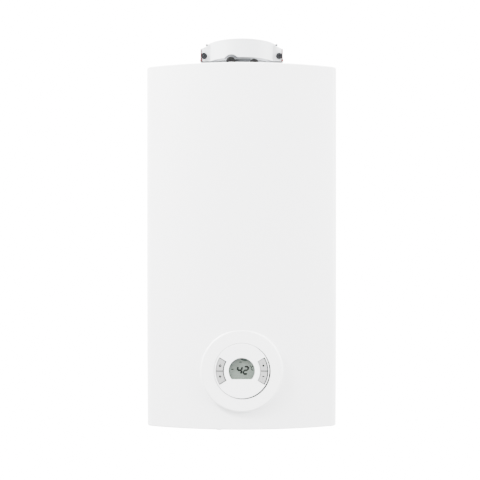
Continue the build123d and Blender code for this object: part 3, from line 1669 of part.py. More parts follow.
def build():
    os.makedirs("parts", exist_ok=True)
    save("rear_panel", rear_panel())
    save("top_panel", top_panel())
    save("foot_panel", foot_panel())
    save("front_cover", front_cover())
    save("cover_seals", *cover_seals())
    save("cover_screws", *cover_screws())
    save("fascia", fascia())
    save("screen_lens", screen_lens())
    save("screen_module", lcd_module())
    for name, place in key_places.items():
        save(name, key(*place))
    save("display_board", display_board(), *key_switches())
    save("display_housing", display_housing())
    save("fascia_nuts", *fascia_nuts())
    save("flue_base", flue_base())
    save("collar_front", collar_front())
    save("collar_gasket", collar_gasket())
    save("collar_screws", *collar_screws())
    save("port_caps", *port_caps())
    save("inner_socket", inner_socket())
    save("socket_lip_seal", socket_lip_seal())
    nipple, nipple_bore = scroll_nipple()
    scroll = fan_scroll() + nipple - nipple_bore
    for lug in scroll_lugs():
        scroll += lug
    for x, z in lug_points:
        scroll -= rod_y(screw_radius, scroll_back - 5, scroll_back + 1, x, z)
    save("fan_scroll", scroll)
    save("outlet_adapter", outlet_adapter())
    save("fan_impeller", fan_impeller())
    save("fan_shaft", *fan_shaft())
    save("motor_housing", motor_housing(), *fan_bearings())
    save("motor_stator", motor_stator())
    save("hex_screws", *hex_screws())
    save("hood", hood())
    save("heat_jacket", hx_jacket())
    save("heat_fins", *hx_fins())
    save("heat_tube", hx_tube())
    save("combustion_chamber", combustion_chamber())
    save("chamber_lining", chamber_lining())
    save("brackets", *wall_rails(), box_bracket())
    save("temperature_sensors", limiter(), temperature_sensor())
    bar = burner_bar_sheet()
    save("burner_bars", *[Pos(x, 0, 0) * bar for x in bar_xs])
    save("burner_frame", burner_frame())
    save("gas_manifold", gas_manifold())
    save("injectors", *injectors())
    save("electrode_insulators", *electrode_insulators())
    save("electrodes", electrode_plate(), *electrode_rods())
    save("unions", *unions())
    save("pipe_nuts", *lock_nuts(), *joint_nuts())
    save("gas_valve", gas_valve())
    save("valve_coil", valve_coil())
    save("valve_armature", valve_armature())
    save("gas_pipe", gas_pipe())
    save("flow_sensor", flow_sensor())
    save("flow_turbine", flow_turbine())
    save("water_pipes", water_pipe("cold", sensor_top + 0.1), water_pipe("hot", union_top + 0.1))
    save("control_box", control_box())
    save("control_lid", control_lid())
    save("control_board", control_board())
    save("cable_gland", cable_gland())
    save("igniter", igniter())
    save("pressure_switch", pressure_switch())
    save("pressure_hose", pressure_hose())


build()
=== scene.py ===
"""A room-sealed, wall-hung tankless gas water heater, dressed for a studio picture.

The finishes, the studio and every finished mesh are in metres. The sizes of the heater's sub-assemblies
are in millimetres, and MM turns them into metres where a mesh is made.
"""

import json
import logging
from dataclasses import dataclass
from enum import Enum, IntEnum
from math import cos, degrees, pi, radians, sin

import bpy
import numpy as np
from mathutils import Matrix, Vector

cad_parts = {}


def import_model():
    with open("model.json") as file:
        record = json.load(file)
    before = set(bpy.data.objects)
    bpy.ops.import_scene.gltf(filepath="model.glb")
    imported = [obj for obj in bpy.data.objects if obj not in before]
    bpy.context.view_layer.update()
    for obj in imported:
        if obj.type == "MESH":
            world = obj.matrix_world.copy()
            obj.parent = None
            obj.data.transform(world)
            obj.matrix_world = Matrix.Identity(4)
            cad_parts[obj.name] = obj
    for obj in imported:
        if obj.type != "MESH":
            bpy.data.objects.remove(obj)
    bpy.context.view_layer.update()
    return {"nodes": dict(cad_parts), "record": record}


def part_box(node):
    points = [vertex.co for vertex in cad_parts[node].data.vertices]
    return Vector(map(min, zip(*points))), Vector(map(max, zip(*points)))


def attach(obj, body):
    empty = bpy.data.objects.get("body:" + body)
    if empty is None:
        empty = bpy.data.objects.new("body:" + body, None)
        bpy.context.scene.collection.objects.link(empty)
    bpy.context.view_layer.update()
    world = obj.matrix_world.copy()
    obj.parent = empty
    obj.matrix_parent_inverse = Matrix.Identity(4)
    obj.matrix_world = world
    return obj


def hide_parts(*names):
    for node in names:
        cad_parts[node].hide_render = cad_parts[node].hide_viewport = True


logging.basicConfig(level=logging.INFO, format="%(message)s")
log = logging.getLogger("heater")

MM = 0.001

# A place is x, y and z. A spot is x and z in the front view, or two levels. A loop is rows of spots, and a
# mesh is its points and its faces.
Colour = tuple[float, float, float]
Place = tuple[float, float, float]
Spot = tuple[float, float]
Loop = np.ndarray
Mesh = tuple[np.ndarray, list]
Socket = bpy.types.NodeSocket
Materials = dict[str, bpy.types.Material]

WHITE: Colour = (1.0, 1.0, 1.0)


class Body(Enum):
    """The moving groups that a piece can ride on."""

    CHASSIS = "chassis"
    COVER = "cover"
    POWER = "key_power"
    RESET = "key_reset"
    PLUS = "key_plus"
    MINUS = "key_minus"


class Axis(Enum):
    """The object's axes, by the names of their sockets."""

    X = "X"
    Y = "Y"
    Z = "Z"


# Shader graphs


class Value:
    """A number in a shader graph; Python's operators add the Math nodes."""

    def __init__(self, graph: "Graph", link: Socket) -> None:
        """Keeps the graph and the output socket that carries the number."""
        self.graph = graph
        self.link = link

    def __add__(self, other: "Value | float") -> "Value":
        """Adds a number or another value."""
        return self.graph.maths("ADD", self, other)

    def __radd__(self, other: float) -> "Value":
        """Adds to a plain number."""
        return self.graph.maths("ADD", other, self)

    def __sub__(self, other: "Value | float") -> "Value":
        """Takes away a number or another value."""
        return self.graph.maths("SUBTRACT", self, other)

    def __rsub__(self, other: float) -> "Value":
        """Takes this value away from a plain number."""
        return self.graph.maths("SUBTRACT", other, self)

    def __mul__(self, other: "Value | float") -> "Value":
        """Multiplies by a number or another value."""
        return self.graph.maths("MULTIPLY", self, other)

    def __rmul__(self, other: float) -> "Value":
        """Multiplies a plain number."""
        return self.graph.maths("MULTIPLY", other, self)

    def __pow__(self, other: "Value | float") -> "Value":
        """Raises to a power."""
        return self.graph.maths("POWER", self, other)

    def size(self) -> "Value":
        """The value without its sign."""
        return self.graph.maths("ABSOLUTE", self, 0.0)

    def rest(self) -> "Value":
        """What is left over the whole number below the value."""
        return self.graph.maths("FRACT", self, 0.0)

    def above(self, limit: float) -> "Value":
        """One where the value is over the limit, and nought elsewhere."""
        return self.graph.maths("GREATER_THAN", self, limit)


class Graph:
    """Builds the nodes of one tree, the world's or a material's."""

    def __init__(self, tree: bpy.types.NodeTree, output: str) -> None:
        """Empties the tree and starts it with its output and its coordinates.

        Args:
            tree: the node tree.
            output: the output node's type name.
        """
        self.tree = tree
        self.tree.nodes.clear()
        self.output = self.node(output)
        self.coordinates = self.node("ShaderNodeTexCoord").outputs

    def node(self, kind: str, inputs: dict | None = None, **settings: object) -> bpy.types.Node:
        """Adds a node of any type.

        Args:
            kind: the node's type name.
            inputs: values or links for its sockets, by name or number.
            settings: the node's own settings, which are set first.

        Returns:
            The node.
        """
        made = self.tree.nodes.new(kind)
        for key, value in settings.items():
            setattr(made, key, value)
        for key, value in (inputs or {}).items():
            self.feed(made.inputs[key], value)
        return made

    def feed(self, socket: Socket, value: object) -> None:
        """Links a value to a socket, or sets the number or colour on it.

        Args:
            socket: the input that is fed.
            value: a value, an output, a colour or a plain number or vector.
        """
        if isinstance(value, Value):
            self.tree.links.new(value.link, socket)
        elif isinstance(value, Socket):
            self.tree.links.new(value, socket)
        elif isinstance(value, tuple) and len(value) == 3 and socket.type == "RGBA":
            socket.default_value = (*value, 1.0)
        else:
            socket.default_value = value

    def maths(self, operation: str, first: "Value | float", second: "Value | float") -> Value:
        """Adds a Math node on two numbers or values."""
        made = self.node("ShaderNodeMath", {0: first, 1: second}, operation=operation)
        return Value(self, made.outputs[0])

    def show(self, shader: bpy.types.Node) -> None:
        """Links the finished shader to the tree's output."""
        self.tree.links.new(shader.outputs[0], self.output.inputs["Surface"])


class MaterialGraph(Graph):
    """Builds one material's nodes; its patterns read the object coordinates."""

    def __init__(self, name: str) -> None:
        """Starts a material.

        Args:
            name: the material's name.
        """
        self.material = bpy.data.materials.new(name)
        self.material.use_nodes = True
        super().__init__(self.material.node_tree, "ShaderNodeOutputMaterial")
        self.place = self.coordinates["Object"]

    def noise(
        self, scale: float, detail: float = 2.0, rough: float = 0.5, stretch: Place = (1, 1, 1)
    ) -> Value:
        """Adds noise.

        Args:
            scale: its grains in a metre.
            detail: how many finer noises lie in it.
            rough: how strong these are.
            stretch: a factor on each axis, which draws the grains out where it is under one.

        Returns:
            The noise, from nought to one.
        """
        vector = self.node("ShaderNodeVectorMath", {0: self.place, 1: stretch}, operation="MULTIPLY")
        sockets = {"Vector": vector.outputs[0], "Scale": scale, "Detail": detail, "Roughness": rough}
        return Value(self, self.node("ShaderNodeTexNoise", sockets).outputs[0])

    def cells(self, scale: float) -> tuple[Value, Value]:
        """Adds a pattern of cells.

        Args:
            scale: its cells in a metre.

        Returns:
            The distance to the nearest cell's centre, and one random number a cell.
        """
        made = self.node("ShaderNodeTexVoronoi", {"Vector": self.place, "Scale": scale})
        split = self.node("ShaderNodeSeparateColor", {0: made.outputs["Color"]})
        return Value(self, made.outputs["Distance"]), Value(self, split.outputs[0])

    def along(self, axis: Axis) -> Value:
        """The object coordinate along an axis, in metres."""
        return Value(self, self.node("ShaderNodeSeparateXYZ", {0: self.place}).outputs[axis.value])

    def mix(self, share: Value, first: Colour | Socket, second: Colour | Socket) -> Socket:
        """Mixes two colours.

        Args:
            share: the second colour's share, from nought to one.
            first: the colour where the share is nought.
            second: the colour where it is one.

        Returns:
            The mixed colour's output.
        """
        made = self.node("ShaderNodeMix", data_type="RGBA")
        for key, value in ((0, share), (6, first), (7, second)):
            self.feed(made.inputs[key], value)
        return made.outputs[2]

    def bump(self, height: Value, depth: float, strength: float) -> Socket:
        """A normal from a height of nought to one, this many metres deep."""
        sockets = {"Height": height, "Distance": depth, "Strength": strength}
        return self.node("ShaderNodeBump", sockets).outputs[0]

    def finish(self, **sockets: object) -> bpy.types.Material:
        """Adds the Principled surface.

        Args:
            sockets: its values, by the sockets' names with underscores for spaces.

        Returns:
            The material.
        """
        named = {key.replace("_", " "): value for key, value in sockets.items()}
        self.show(self.node("ShaderNodeBsdfPrincipled", named))
        return self.material


# Finishes


@dataclass(frozen=True)
class Finish:
    """What every finish has: a name and its main colour."""

    name: str
    colour: Colour

    def shade(self, share: float) -> Colour:
        """The main colour made darker or lighter by a factor."""
        return tuple(min(part * share, 1.0) for part in self.colour)

    def build(self) -> bpy.types.Material:
        """Makes the material."""
        raise NotImplementedError


@dataclass(frozen=True)
class PowderCoat(Finish):
    """Baked paint with a faint orange peel, smoother and rougher in patches."""

    rough: float = 0.36
    peel: float = 420.0
    depth: float = 0.00003
    patches: float = 7.0
    darkest: float = 0.985
    palest: float = 1.01
    patch_gloss: float = 0.06
    grain_gloss: float = 0.04
    coat: float = 0.12
    coat_rough: float = 0.25

    def build(self) -> bpy.types.Material:
        """Makes the material: a fine bump for the peel, a finer one for the grain, and a slow drift of tone.

        Returns:
            The material.
        """
        graph = MaterialGraph(self.name)
        drift = graph.noise(self.patches, detail=3.0)
        peel = graph.noise(self.peel, detail=3.0, rough=0.55)
        grain = graph.noise(self.peel * 6, detail=1.0)
        return graph.finish(
            Base_Color=graph.mix(drift, self.shade(self.darkest), self.shade(self.palest)),
            Roughness=self.rough + self.patch_gloss * drift + self.grain_gloss * grain,
            Normal=graph.bump(peel * 0.8 + grain * 0.2, self.depth, strength=0.6),
            Coat_Weight=self.coat,
            Coat_Roughness=self.coat_rough,
        )


@dataclass(frozen=True)
class Moulded(Finish):
    """Moulded plastic or rubber, with the fine spark texture of its mould."""

    rough: float = 0.42
    grain: float = 1800.0
    depth: float = 0.00002
    drift: float = 0.04
    coat: float = 0.0
    shine: float = 0.5
    flow: float = 14.0
    flow_stretch: Place = (1, 1, 0.35)
    grain_gloss: float = 0.12
    flow_gloss: float = 0.05
    coat_rough: float = 0.12

    def tone(self, graph: MaterialGraph, flow: Value) -> Socket:
        """The colour, a little darker or lighter with the flow of the plastic."""
        return graph.mix(flow, self.shade(1 - self.drift), self.shade(1 + self.drift))

    def build(self) -> bpy.types.Material:
        """Makes the material: grain as bump and as gloss, and flow marks as a slow change of tone.

        Returns:
            The material.
        """
        graph = MaterialGraph(self.name)
        grain = graph.noise(self.grain, detail=2.0, rough=0.6)
        flow = graph.noise(self.flow, detail=3.0, stretch=self.flow_stretch)
        return graph.finish(
            Base_Color=self.tone(graph, flow),
            Roughness=self.rough + self.grain_gloss * (grain - 0.5) + self.flow_gloss * flow,
            Normal=graph.bump(grain, self.depth, strength=0.5),
            Specular_IOR_Level=self.shine,
            Coat_Weight=self.coat,
            Coat_Roughness=self.coat_rough,
        )


@dataclass(frozen=True)
class KeyCap(Moulded):
    """Key plastic, with a painted shadow line where the two keys of a pair meet."""

    shadow_line: float = 0.0
    shadow_line_half: float = 0.0008
    shadow_line_tone: float = 0.06

    def tone(self, graph: MaterialGraph, flow: Value) -> Socket:
        """The moulded tone, darkened as painted shadow within half a line's width of the shadow line's
        height.
        """
        # Painted shadow: a dark line at the height where the two keys of a pair meet.
        in_shadow_line = 1 - (graph.along(Axis.Z) - self.shadow_line).size().above(self.shadow_line_half)
        return graph.mix(in_shadow_line, super().tone(graph, flow), self.shade(self.shadow_line_tone))


class Working(Enum):
    """How a metal was worked, which sets its pattern."""

    CAST = "cast"
    SPANGLE = "spangle"
    DRAWN = "drawn"
    PLATED = "plated"
    AGED = "aged"


# How deep each working's marks are, in metres.
MARK_DEPTHS: dict[Working, float] = {
    Working.CAST: 0.00012,
    Working.SPANGLE: 0.00002,
    Working.DRAWN: 0.00001,
    Working.PLATED: 0.00001,
    Working.AGED: 0.00002,
}


@dataclass(frozen=True)
class Metal(Finish):
    """Bare metal, with the marks of how it was worked."""

    working: Working = Working.PLATED
    rough: float = 0.35
    dull: Colour = (0.3, 0.3, 0.3)
    dull_gloss: float = 0.22
    mean_tone: float = 0.4

    def pattern(self, graph: MaterialGraph) -> tuple[Value, Value]:
        """Adds the marks of the working.

        Args:
            graph: the material's graph.

        Returns:
            The marks' tone and their height, each from nought to one.
        """
        if self.working is Working.CAST:
            grain = graph.noise(900.0, detail=4.0, rough=0.65)
            return graph.noise(30.0, detail=3.0), grain
        if self.working is Working.SPANGLE:
            distance, tone = graph.cells(110.0)
            return tone * 0.7 + graph.noise(260.0, detail=3.0) * 0.3, distance
        if self.working is Working.DRAWN:
            lines = graph.noise(900.0, detail=2.0, rough=0.6, stretch=(1, 1, 0.02))
            return lines * 0.5 + graph.noise(22.0, detail=3.0) * 0.5, lines
        if self.working is Working.AGED:
            stain = graph.noise(45.0, detail=5.0, rough=0.6)
            return stain**1.6, graph.noise(600.0, detail=3.0)
        grain = graph.noise(1200.0)
        return graph.noise(60.0, detail=3.0), grain

    def build(self) -> bpy.types.Material:
        """Makes the material: tone mixes towards the dull colour and roughens with it; marks stand as bump.

        Returns:
            The material.
        """
        graph = MaterialGraph(self.name)
        tone, height = self.pattern(graph)
        return graph.finish(
            Base_Color=graph.mix(tone, self.colour, self.dull),
            Metallic=1.0,
            Roughness=self.rough + self.dull_gloss * (tone - self.mean_tone),
            Normal=graph.bump(height, MARK_DEPTHS[self.working], strength=0.7),
        )


@dataclass(frozen=True)
class PartPainted(Finish):
    """A casting painted above a line and bare below it; the bare metal's dark colours are partly painted
    shade.
    """

    line: float = 0.2972
    # The bare metal's dark colours are partly painted shade under the collar's shell.
    metal: Colour = (0.2, 0.207, 0.215)
    dull: Colour = (0.08, 0.082, 0.088)
    rough: float = 0.38
    streak_gloss: float = 0.1
    depth: float = 0.0001

    def build(self) -> bpy.types.Material:
        """Makes the material: the height picks paint or metal.

        The metal has cast grain, and streaks that run round the collar. Its dark colours are partly painted
        shade under the collar's shell.

        Returns:
            The material.
        """
        graph = MaterialGraph(self.name)
        painted = graph.along(Axis.Z).above(self.line)
        grain = graph.noise(900.0, detail=4.0, rough=0.65)
        streak = graph.noise(60.0, detail=3.0, rough=0.6, stretch=(1, 1, 0.15))
        bare = graph.mix(streak, self.metal, self.dull)
        return graph.finish(
            Base_Color=graph.mix(painted, bare, self.colour),
            Metallic=1 - painted,
            Roughness=self.rough + self.streak_gloss * streak,
            Normal=graph.bump(grain * (1 - painted), self.depth, strength=0.6),
        )


@dataclass(frozen=True)
class Fibre(Finish):
    """Soft board or foam: clumped fibres or cells, and no shine."""

    clump: float = 260.0
    depth: float = 0.0004
    darkest: float = 0.8
    palest: float = 1.08
    rough: float = 0.88
    clump_gloss: float = 0.1

    def build(self) -> bpy.types.Material:
        """Makes the material: two sizes of noise give the clumps and the single fibres.

        Returns:
            The material.
        """
        graph = MaterialGraph(self.name)
        clump = graph.noise(self.clump, detail=5.0, rough=0.7)
        thread = graph.noise(self.clump * 5, stretch=(1, 1, 0.25))
        height = clump * 0.7 + thread * 0.3
        return graph.finish(
            Base_Color=graph.mix(height, self.shade(self.darkest), self.shade(self.palest)),
            Roughness=self.rough + self.clump_gloss * clump,
            Normal=graph.bump(height, self.depth, strength=0.8),
        )


@dataclass(frozen=True)
class CircuitBoard(Finish):
    """Solder-masked board with paler copper tracks under the mask."""

    track: Colour = (0.03, 0.19, 0.08)
    bands: float = 14.0
    gap: float = 0.62
    rough: float = 0.34
    track_gloss: float = 0.12
    depth: float = 0.00003

    def build(self) -> bpy.types.Material:
        """Makes the material: tracks are thin bands of two slow waves, one along X and one along Z.

        Returns:
            The material.
        """
        graph = MaterialGraph(self.name)
        first = graph.noise(140.0, detail=1.0, rough=0.4, stretch=(1, 0.2, 0.15))
        second = graph.noise(120.0, detail=1.0, rough=0.4, stretch=(0.15, 0.2, 1))
        tracks = ((first + 0.5 * second) * self.bands).rest().above(self.gap)
        return graph.finish(
            Base_Color=graph.mix(tracks, self.colour, self.track),
            Roughness=self.rough + self.track_gloss * tracks,
            Normal=graph.bump(tracks, self.depth, strength=0.5),
        )


@dataclass(frozen=True)
class LiquidCrystal(Finish):
    """The grey-green reflector behind the digits, with a fine dot grain."""

    dots: float = 4200.0
    darkest: float = 0.93
    palest: float = 1.04
    rough: float = 0.5
    drift_gloss: float = 0.1
    shine: float = 0.1

    def build(self) -> bpy.types.Material:
        """Makes the material: dots from cells, with a slow change of tone.

        Returns:
            The material.
        """
        graph = MaterialGraph(self.name)
        dots, _ = graph.cells(self.dots)
        drift = graph.noise(40.0)
        return graph.finish(
            Base_Color=graph.mix(dots * 0.4 + drift * 0.5, self.shade(self.palest), self.shade(self.darkest)),
            Roughness=self.rough + self.drift_gloss * drift,
            Specular_IOR_Level=self.shine,
        )


@dataclass(frozen=True)
class Window(Finish):
    """A clear moulded window with a faint haze."""

    see_through: float = 0.99
    haze_alpha: float = 0.008
    haze_shade: float = 0.9
    rough: float = 0.06
    haze_gloss: float = 0.08

    def build(self) -> bpy.types.Material:
        """Makes the material: mostly see-through, with a gloss that haze breaks up a little.

        Returns:
            The material.
        """
        graph = MaterialGraph(self.name)
        haze = graph.noise(90.0, detail=3.0)
        made = graph.finish(
            Base_Color=graph.mix(haze, self.colour, self.shade(self.haze_shade)),
            Roughness=self.rough + self.haze_gloss * haze,
            Alpha=(1 - self.see_through) + self.haze_alpha * haze,
        )
        made.blend_method = "BLEND"
        return made


# Every finish, in the order in which they are made.
FINISHES: tuple[Finish, ...] = (
    PowderCoat("cover_paint", (0.86, 0.862, 0.868)),
    Moulded("boss_plastic", (0.85, 0.852, 0.86), rough=0.3, depth=0.00001, drift=0.01, coat=0.2),
    # Its line is 1.5 mm above the shell's foot, so the foot's lowest strip is painted shade in the bare
    # metal's colour.
    PartPainted("collar_paint_shaded_foot", (0.61, 0.62, 0.632), line=0.2986),
    PowderCoat("panel_paint", (0.78, 0.785, 0.79), rough=0.45),
    Metal("zinc_sheet", (0.4, 0.41, 0.43), Working.SPANGLE, 0.38, (0.25, 0.26, 0.28)),
    Metal("steel", (0.46, 0.46, 0.47), Working.DRAWN, 0.3, (0.28, 0.28, 0.29)),
    Metal("dark_steel", (0.19, 0.2, 0.215), Working.PLATED, 0.24, (0.06, 0.06, 0.065)),
    Metal("aluminium", (0.5, 0.51, 0.53), Working.CAST, 0.46, (0.34, 0.35, 0.37)),
    Metal("copper", (0.48, 0.14, 0.055), Working.AGED, 0.28, (0.22, 0.06, 0.028)),
    Metal("brass", (0.46, 0.28, 0.07), Working.AGED, 0.26, (0.25, 0.14, 0.035)),
    Moulded("white_plastic", (0.66, 0.66, 0.64)),
    # Its shadow line is painted shadow where the two keys of a pair meet.
    KeyCap("key_plastic", (0.28, 0.28, 0.28), rough=0.38, drift=0.015, shadow_line=-0.1918),
    Moulded("pip_plastic", (0.21, 0.21, 0.21), rough=0.34, drift=0.015),
    Window("screen", (0.1, 0.11, 0.105)),
    LiquidCrystal("lcd", (0.087, 0.103, 0.09)),
    CircuitBoard("board", (0.008, 0.085, 0.035)),
    Moulded("black_plastic", (0.018, 0.018, 0.02), rough=0.45, drift=0.2, shine=0.35),
    Moulded("grey_plastic", (0.16, 0.165, 0.175)),
    Moulded("red_silicone", (0.07, 0.003, 0.002), rough=0.55, grain=900.0, drift=0.15, shine=0.15),
    Fibre("seal_rubber", (0.03, 0.03, 0.032), 900.0, 0.0002),
    Fibre("fibre_board", (0.6, 0.56, 0.48)),
    Moulded("white_ceramic", (0.66, 0.63, 0.56), rough=0.18, grain=500.0, drift=0.02, coat=0.5),
    Moulded("black_rubber", (0.006, 0.006, 0.006), rough=0.62, grain=1300.0, drift=0.25, shine=0.06),
    # Bare metal below the ledge's top; its dark colour is partly painted shade under the shell.
    PartPainted("collar_casting", (0.61, 0.62, 0.632)),
    Moulded("lcd_ink", (0.0012, 0.0016, 0.0014), rough=0.5, drift=0.1, shine=0.05),
    Moulded("lcd_faint", (0.012, 0.015, 0.013), rough=0.5, drift=0.1, shine=0.05),
    # Painted shadow inside the screen's window.
    Moulded("lcd_painted_shadow", (0.035, 0.04, 0.036), rough=0.5, drift=0.1, shine=0.05),
    Moulded("sign_ink", (0.006, 0.006, 0.006), rough=0.5, drift=0.1, shine=0.1),
    # Painted shadow round the keys.
    Moulded("surround_shadow_grey", (0.02, 0.02, 0.02), rough=0.5, drift=0.1, shine=0.08),
    # Partly painted shadow in the fascia's groove.
    Moulded("groove_shadow_grey", (0.014, 0.014, 0.014), rough=0.6, drift=0.1, shine=0.1),
    Moulded("cap_grey", (0.007, 0.007, 0.007), rough=0.5, drift=0.15, shine=0.06),
    # Darkened as painted shade in the shell's notch.
    Metal("cast_pad_shaded", (0.1, 0.104, 0.11), Working.CAST, 0.42, (0.05, 0.05, 0.055)),
)

# The nodes whose finish isn't the one of their material slot.
OWN_FINISHES: dict[str, str] = {
    "fascia": "boss_plastic",
    "collar_front": "collar_paint_shaded_foot",
    "flue_base": "collar_casting",
    "port_caps": "black_rubber",
}


# Mesh helpers


def grid_faces(rows: int, columns: int, closed: bool) -> np.ndarray:
    """Four-sided faces between neighbouring rows and columns of numbered points.

    Args:
        rows: how many rows there are.
        columns: how many points a row has.
        closed: whether the last column joins the first.

    Returns:
        Four point numbers a face.
    """
    starts = columns if closed else columns - 1
    row, column = np.meshgrid(np.arange(rows - 1), np.arange(starts), indexing="ij")
    here = row * columns + column
    beside = row * columns + (column + 1) % columns
    return np.stack([here, beside, beside + columns, here + columns], axis=-1).reshape(-1, 4)


def joined(*parts: Mesh) -> Mesh:
    """Several meshes as one.

    Args:
        parts: the meshes.

    Returns:
        One mesh, with the points and faces in the order of the parts.
    """
    points, faces, start = [], [], 0
    for some_points, some_faces in parts:
        points.append(some_points)
        faces.extend([tuple(int(start + number) for number in face) for face in some_faces])
        start += len(some_points)
    return np.concatenate(points), faces


def at_depth(loop: Loop, y: float) -> np.ndarray:
    """A loop's x and z with one y between them."""
    return np.column_stack([loop[:, 0], np.full(len(loop), y), loop[:, 1]])


def slab(outline: Loop, front: float, back: float, edge: float = 0.0) -> Mesh:
    """A flat plate in the front view, with its front edges rounded by one bevel.

    Its rings are the outline at the back, the outline just behind the front, and the outline drawn in
    towards its middle by the edge, or halfway at most, at the front; the front and back are closed by one
    face each.

    Args:
        outline: x and z in millimetres, anticlockwise as seen from the front.
        front: y of its front in millimetres.
        back: y of its back in millimetres.
        edge: the bevel in millimetres, or nought for none.

    Returns:
        The mesh in metres.
    """
    middle = outline.mean(axis=0)
    reach = np.linalg.norm(outline - middle, axis=1, keepdims=True)
    inner = middle + (outline - middle) * (1 - np.minimum(edge / reach, 0.5))
    rings = [(outline, back), (outline, front + edge)] + ([(inner, front)] if edge else [])
    points = np.concatenate([at_depth(ring, y) for ring, y in rings]) * MM
    count = len(outline)
    faces = [tuple(face) for face in grid_faces(len(rings), count, True)]
    faces.append(tuple(range(count))[::-1])
    faces.append(tuple(range(count * (len(rings) - 1), count * len(rings))))
    return points, faces


def stroke(path: Loop, width: float, front: float, back: float) -> Mesh:
    """A flat line of constant width with square ends.

    Each point is moved half the width to both sides along the normal there, which is the mean of its two
    runs' normals, and up to twice as far where they turn sharply.

    Args:
        path: x and z of the line's points in millimetres.
        width: the line's width in millimetres.
        front: y of its front in millimetres.
        back: y of its back in millimetres.

    Returns:
        The mesh in metres.
    """
    run = np.diff(path, axis=0)
    run = run / np.linalg.norm(run, axis=1, keepdims=True)
    ahead = np.vstack([run, run[-1:]])
    behind = np.vstack([run[:1], run])
    mean = ahead + behind
    mean = mean / np.linalg.norm(mean, axis=1, keepdims=True)
    normal = np.column_stack([-mean[:, 1], mean[:, 0]])
    stretch = width / 2 / np.maximum((normal * np.column_stack([-ahead[:, 1], ahead[:, 0]])).sum(axis=1), 0.5)
    left = path + normal * stretch[:, None]
    right = path - normal * stretch[:, None]
    return slab(np.vstack([right, left[::-1]]), front, back)


def arc_path(x: float, z: float, radius: float, start: float, end: float, count: int) -> Loop:
    """Points on an arc round x and z, from one angle to another in degrees anticlockwise from the right."""
    turn = np.radians(np.linspace(start, end, count))
    return np.column_stack([x + radius * np.cos(turn), z + radius * np.sin(turn)])


def band(rings: list[tuple[Loop, float]], tube: bool) -> Mesh:
    """Loops of equally many points, each at its own depth, joined in their order.

    Args:
        rings: each ring's x and z, and its y, in millimetres.
        tube: whether the last ring joins the first.

    Returns:
        The mesh in metres.
    """
    points = np.concatenate([at_depth(ring, y) for ring, y in rings]) * MM
    faces = grid_faces(len(rings) + int(tube), len(rings[0][0]), True)[:, ::-1] % len(points)
    return points, faces.tolist()


def hoop(rings: list[tuple[np.ndarray, float]], level: float) -> Mesh:
    """A closed tube round an axis that points to the front.

    Ring i is r_i(t) cos t across and r_i(t) sin t up at turn t.

    Args:
        rings: each ring's radii at equal turns, and its y, in millimetres.
        level: z of the axis in millimetres.

    Returns:
        The mesh in metres.
    """
    count = len(rings[0][0])
    turn = np.arange(count) * 2 * pi / count
    loops = [(np.column_stack([r * np.cos(turn), level + r * np.sin(turn)]), y) for r, y in rings]
    return band(loops, True)


def spun(profile: Loop, centre: Vector, count: int, along: Axis) -> Mesh:
    """A profile of radius and height turned round an axis, with a face over each end.

    Point (i, j) lies at radius r_i and turn t_j, so it is the centre plus r_i cos t_j and r_i sin t_j
    across the axis and h_i along it.

    Args:
        profile: rows of radius and height in millimetres.
        centre: a point on the axis in millimetres.
        count: points round the axis.
        along: the axis, Y or Z.

    Returns:
        The mesh in metres.
    """
    turn = np.arange(count) * 2 * pi / count
    radius, height = profile[:, :1], profile[:, 1:]
    across, up = radius * np.cos(turn), radius * np.sin(turn)
    level = np.repeat(height, count, axis=1)
    last = count * (len(profile) - 1)
    faces = [tuple(face) for face in grid_faces(len(profile), count, True)]
    faces += [tuple(range(count))[::-1], tuple(range(last, last + count))]
    order = [across, up, level]
    if along is Axis.Y:
        order = [across, level, up]
        faces = [face[::-1] for face in faces]
    points = np.stack(order, axis=-1).reshape(-1, 3) + np.array(centre)
    return points * MM, faces


# The studio


@dataclass(frozen=True)
class Lamp:
    """A square soft box: where it stands, what it faces, its side in metres and its power in watts."""

    name: str
    place: Place
    aim: Place
    side: float
    power: float

    def build(self) -> None:
        """Hangs the lamp and turns it to what it faces."""
        data = bpy.data.lights.new(self.name, "AREA")
        data.size = self.side
        data.energy = self.power
        lamp = bpy.data.objects.new(self.name, data)
        lamp.location = self.place
        lamp.rotation_euler = (Vector(self.aim) - Vector(self.place)).to_track_quat("-Z", "Y").to_euler()
        bpy.context.scene.collection.objects.link(lamp)


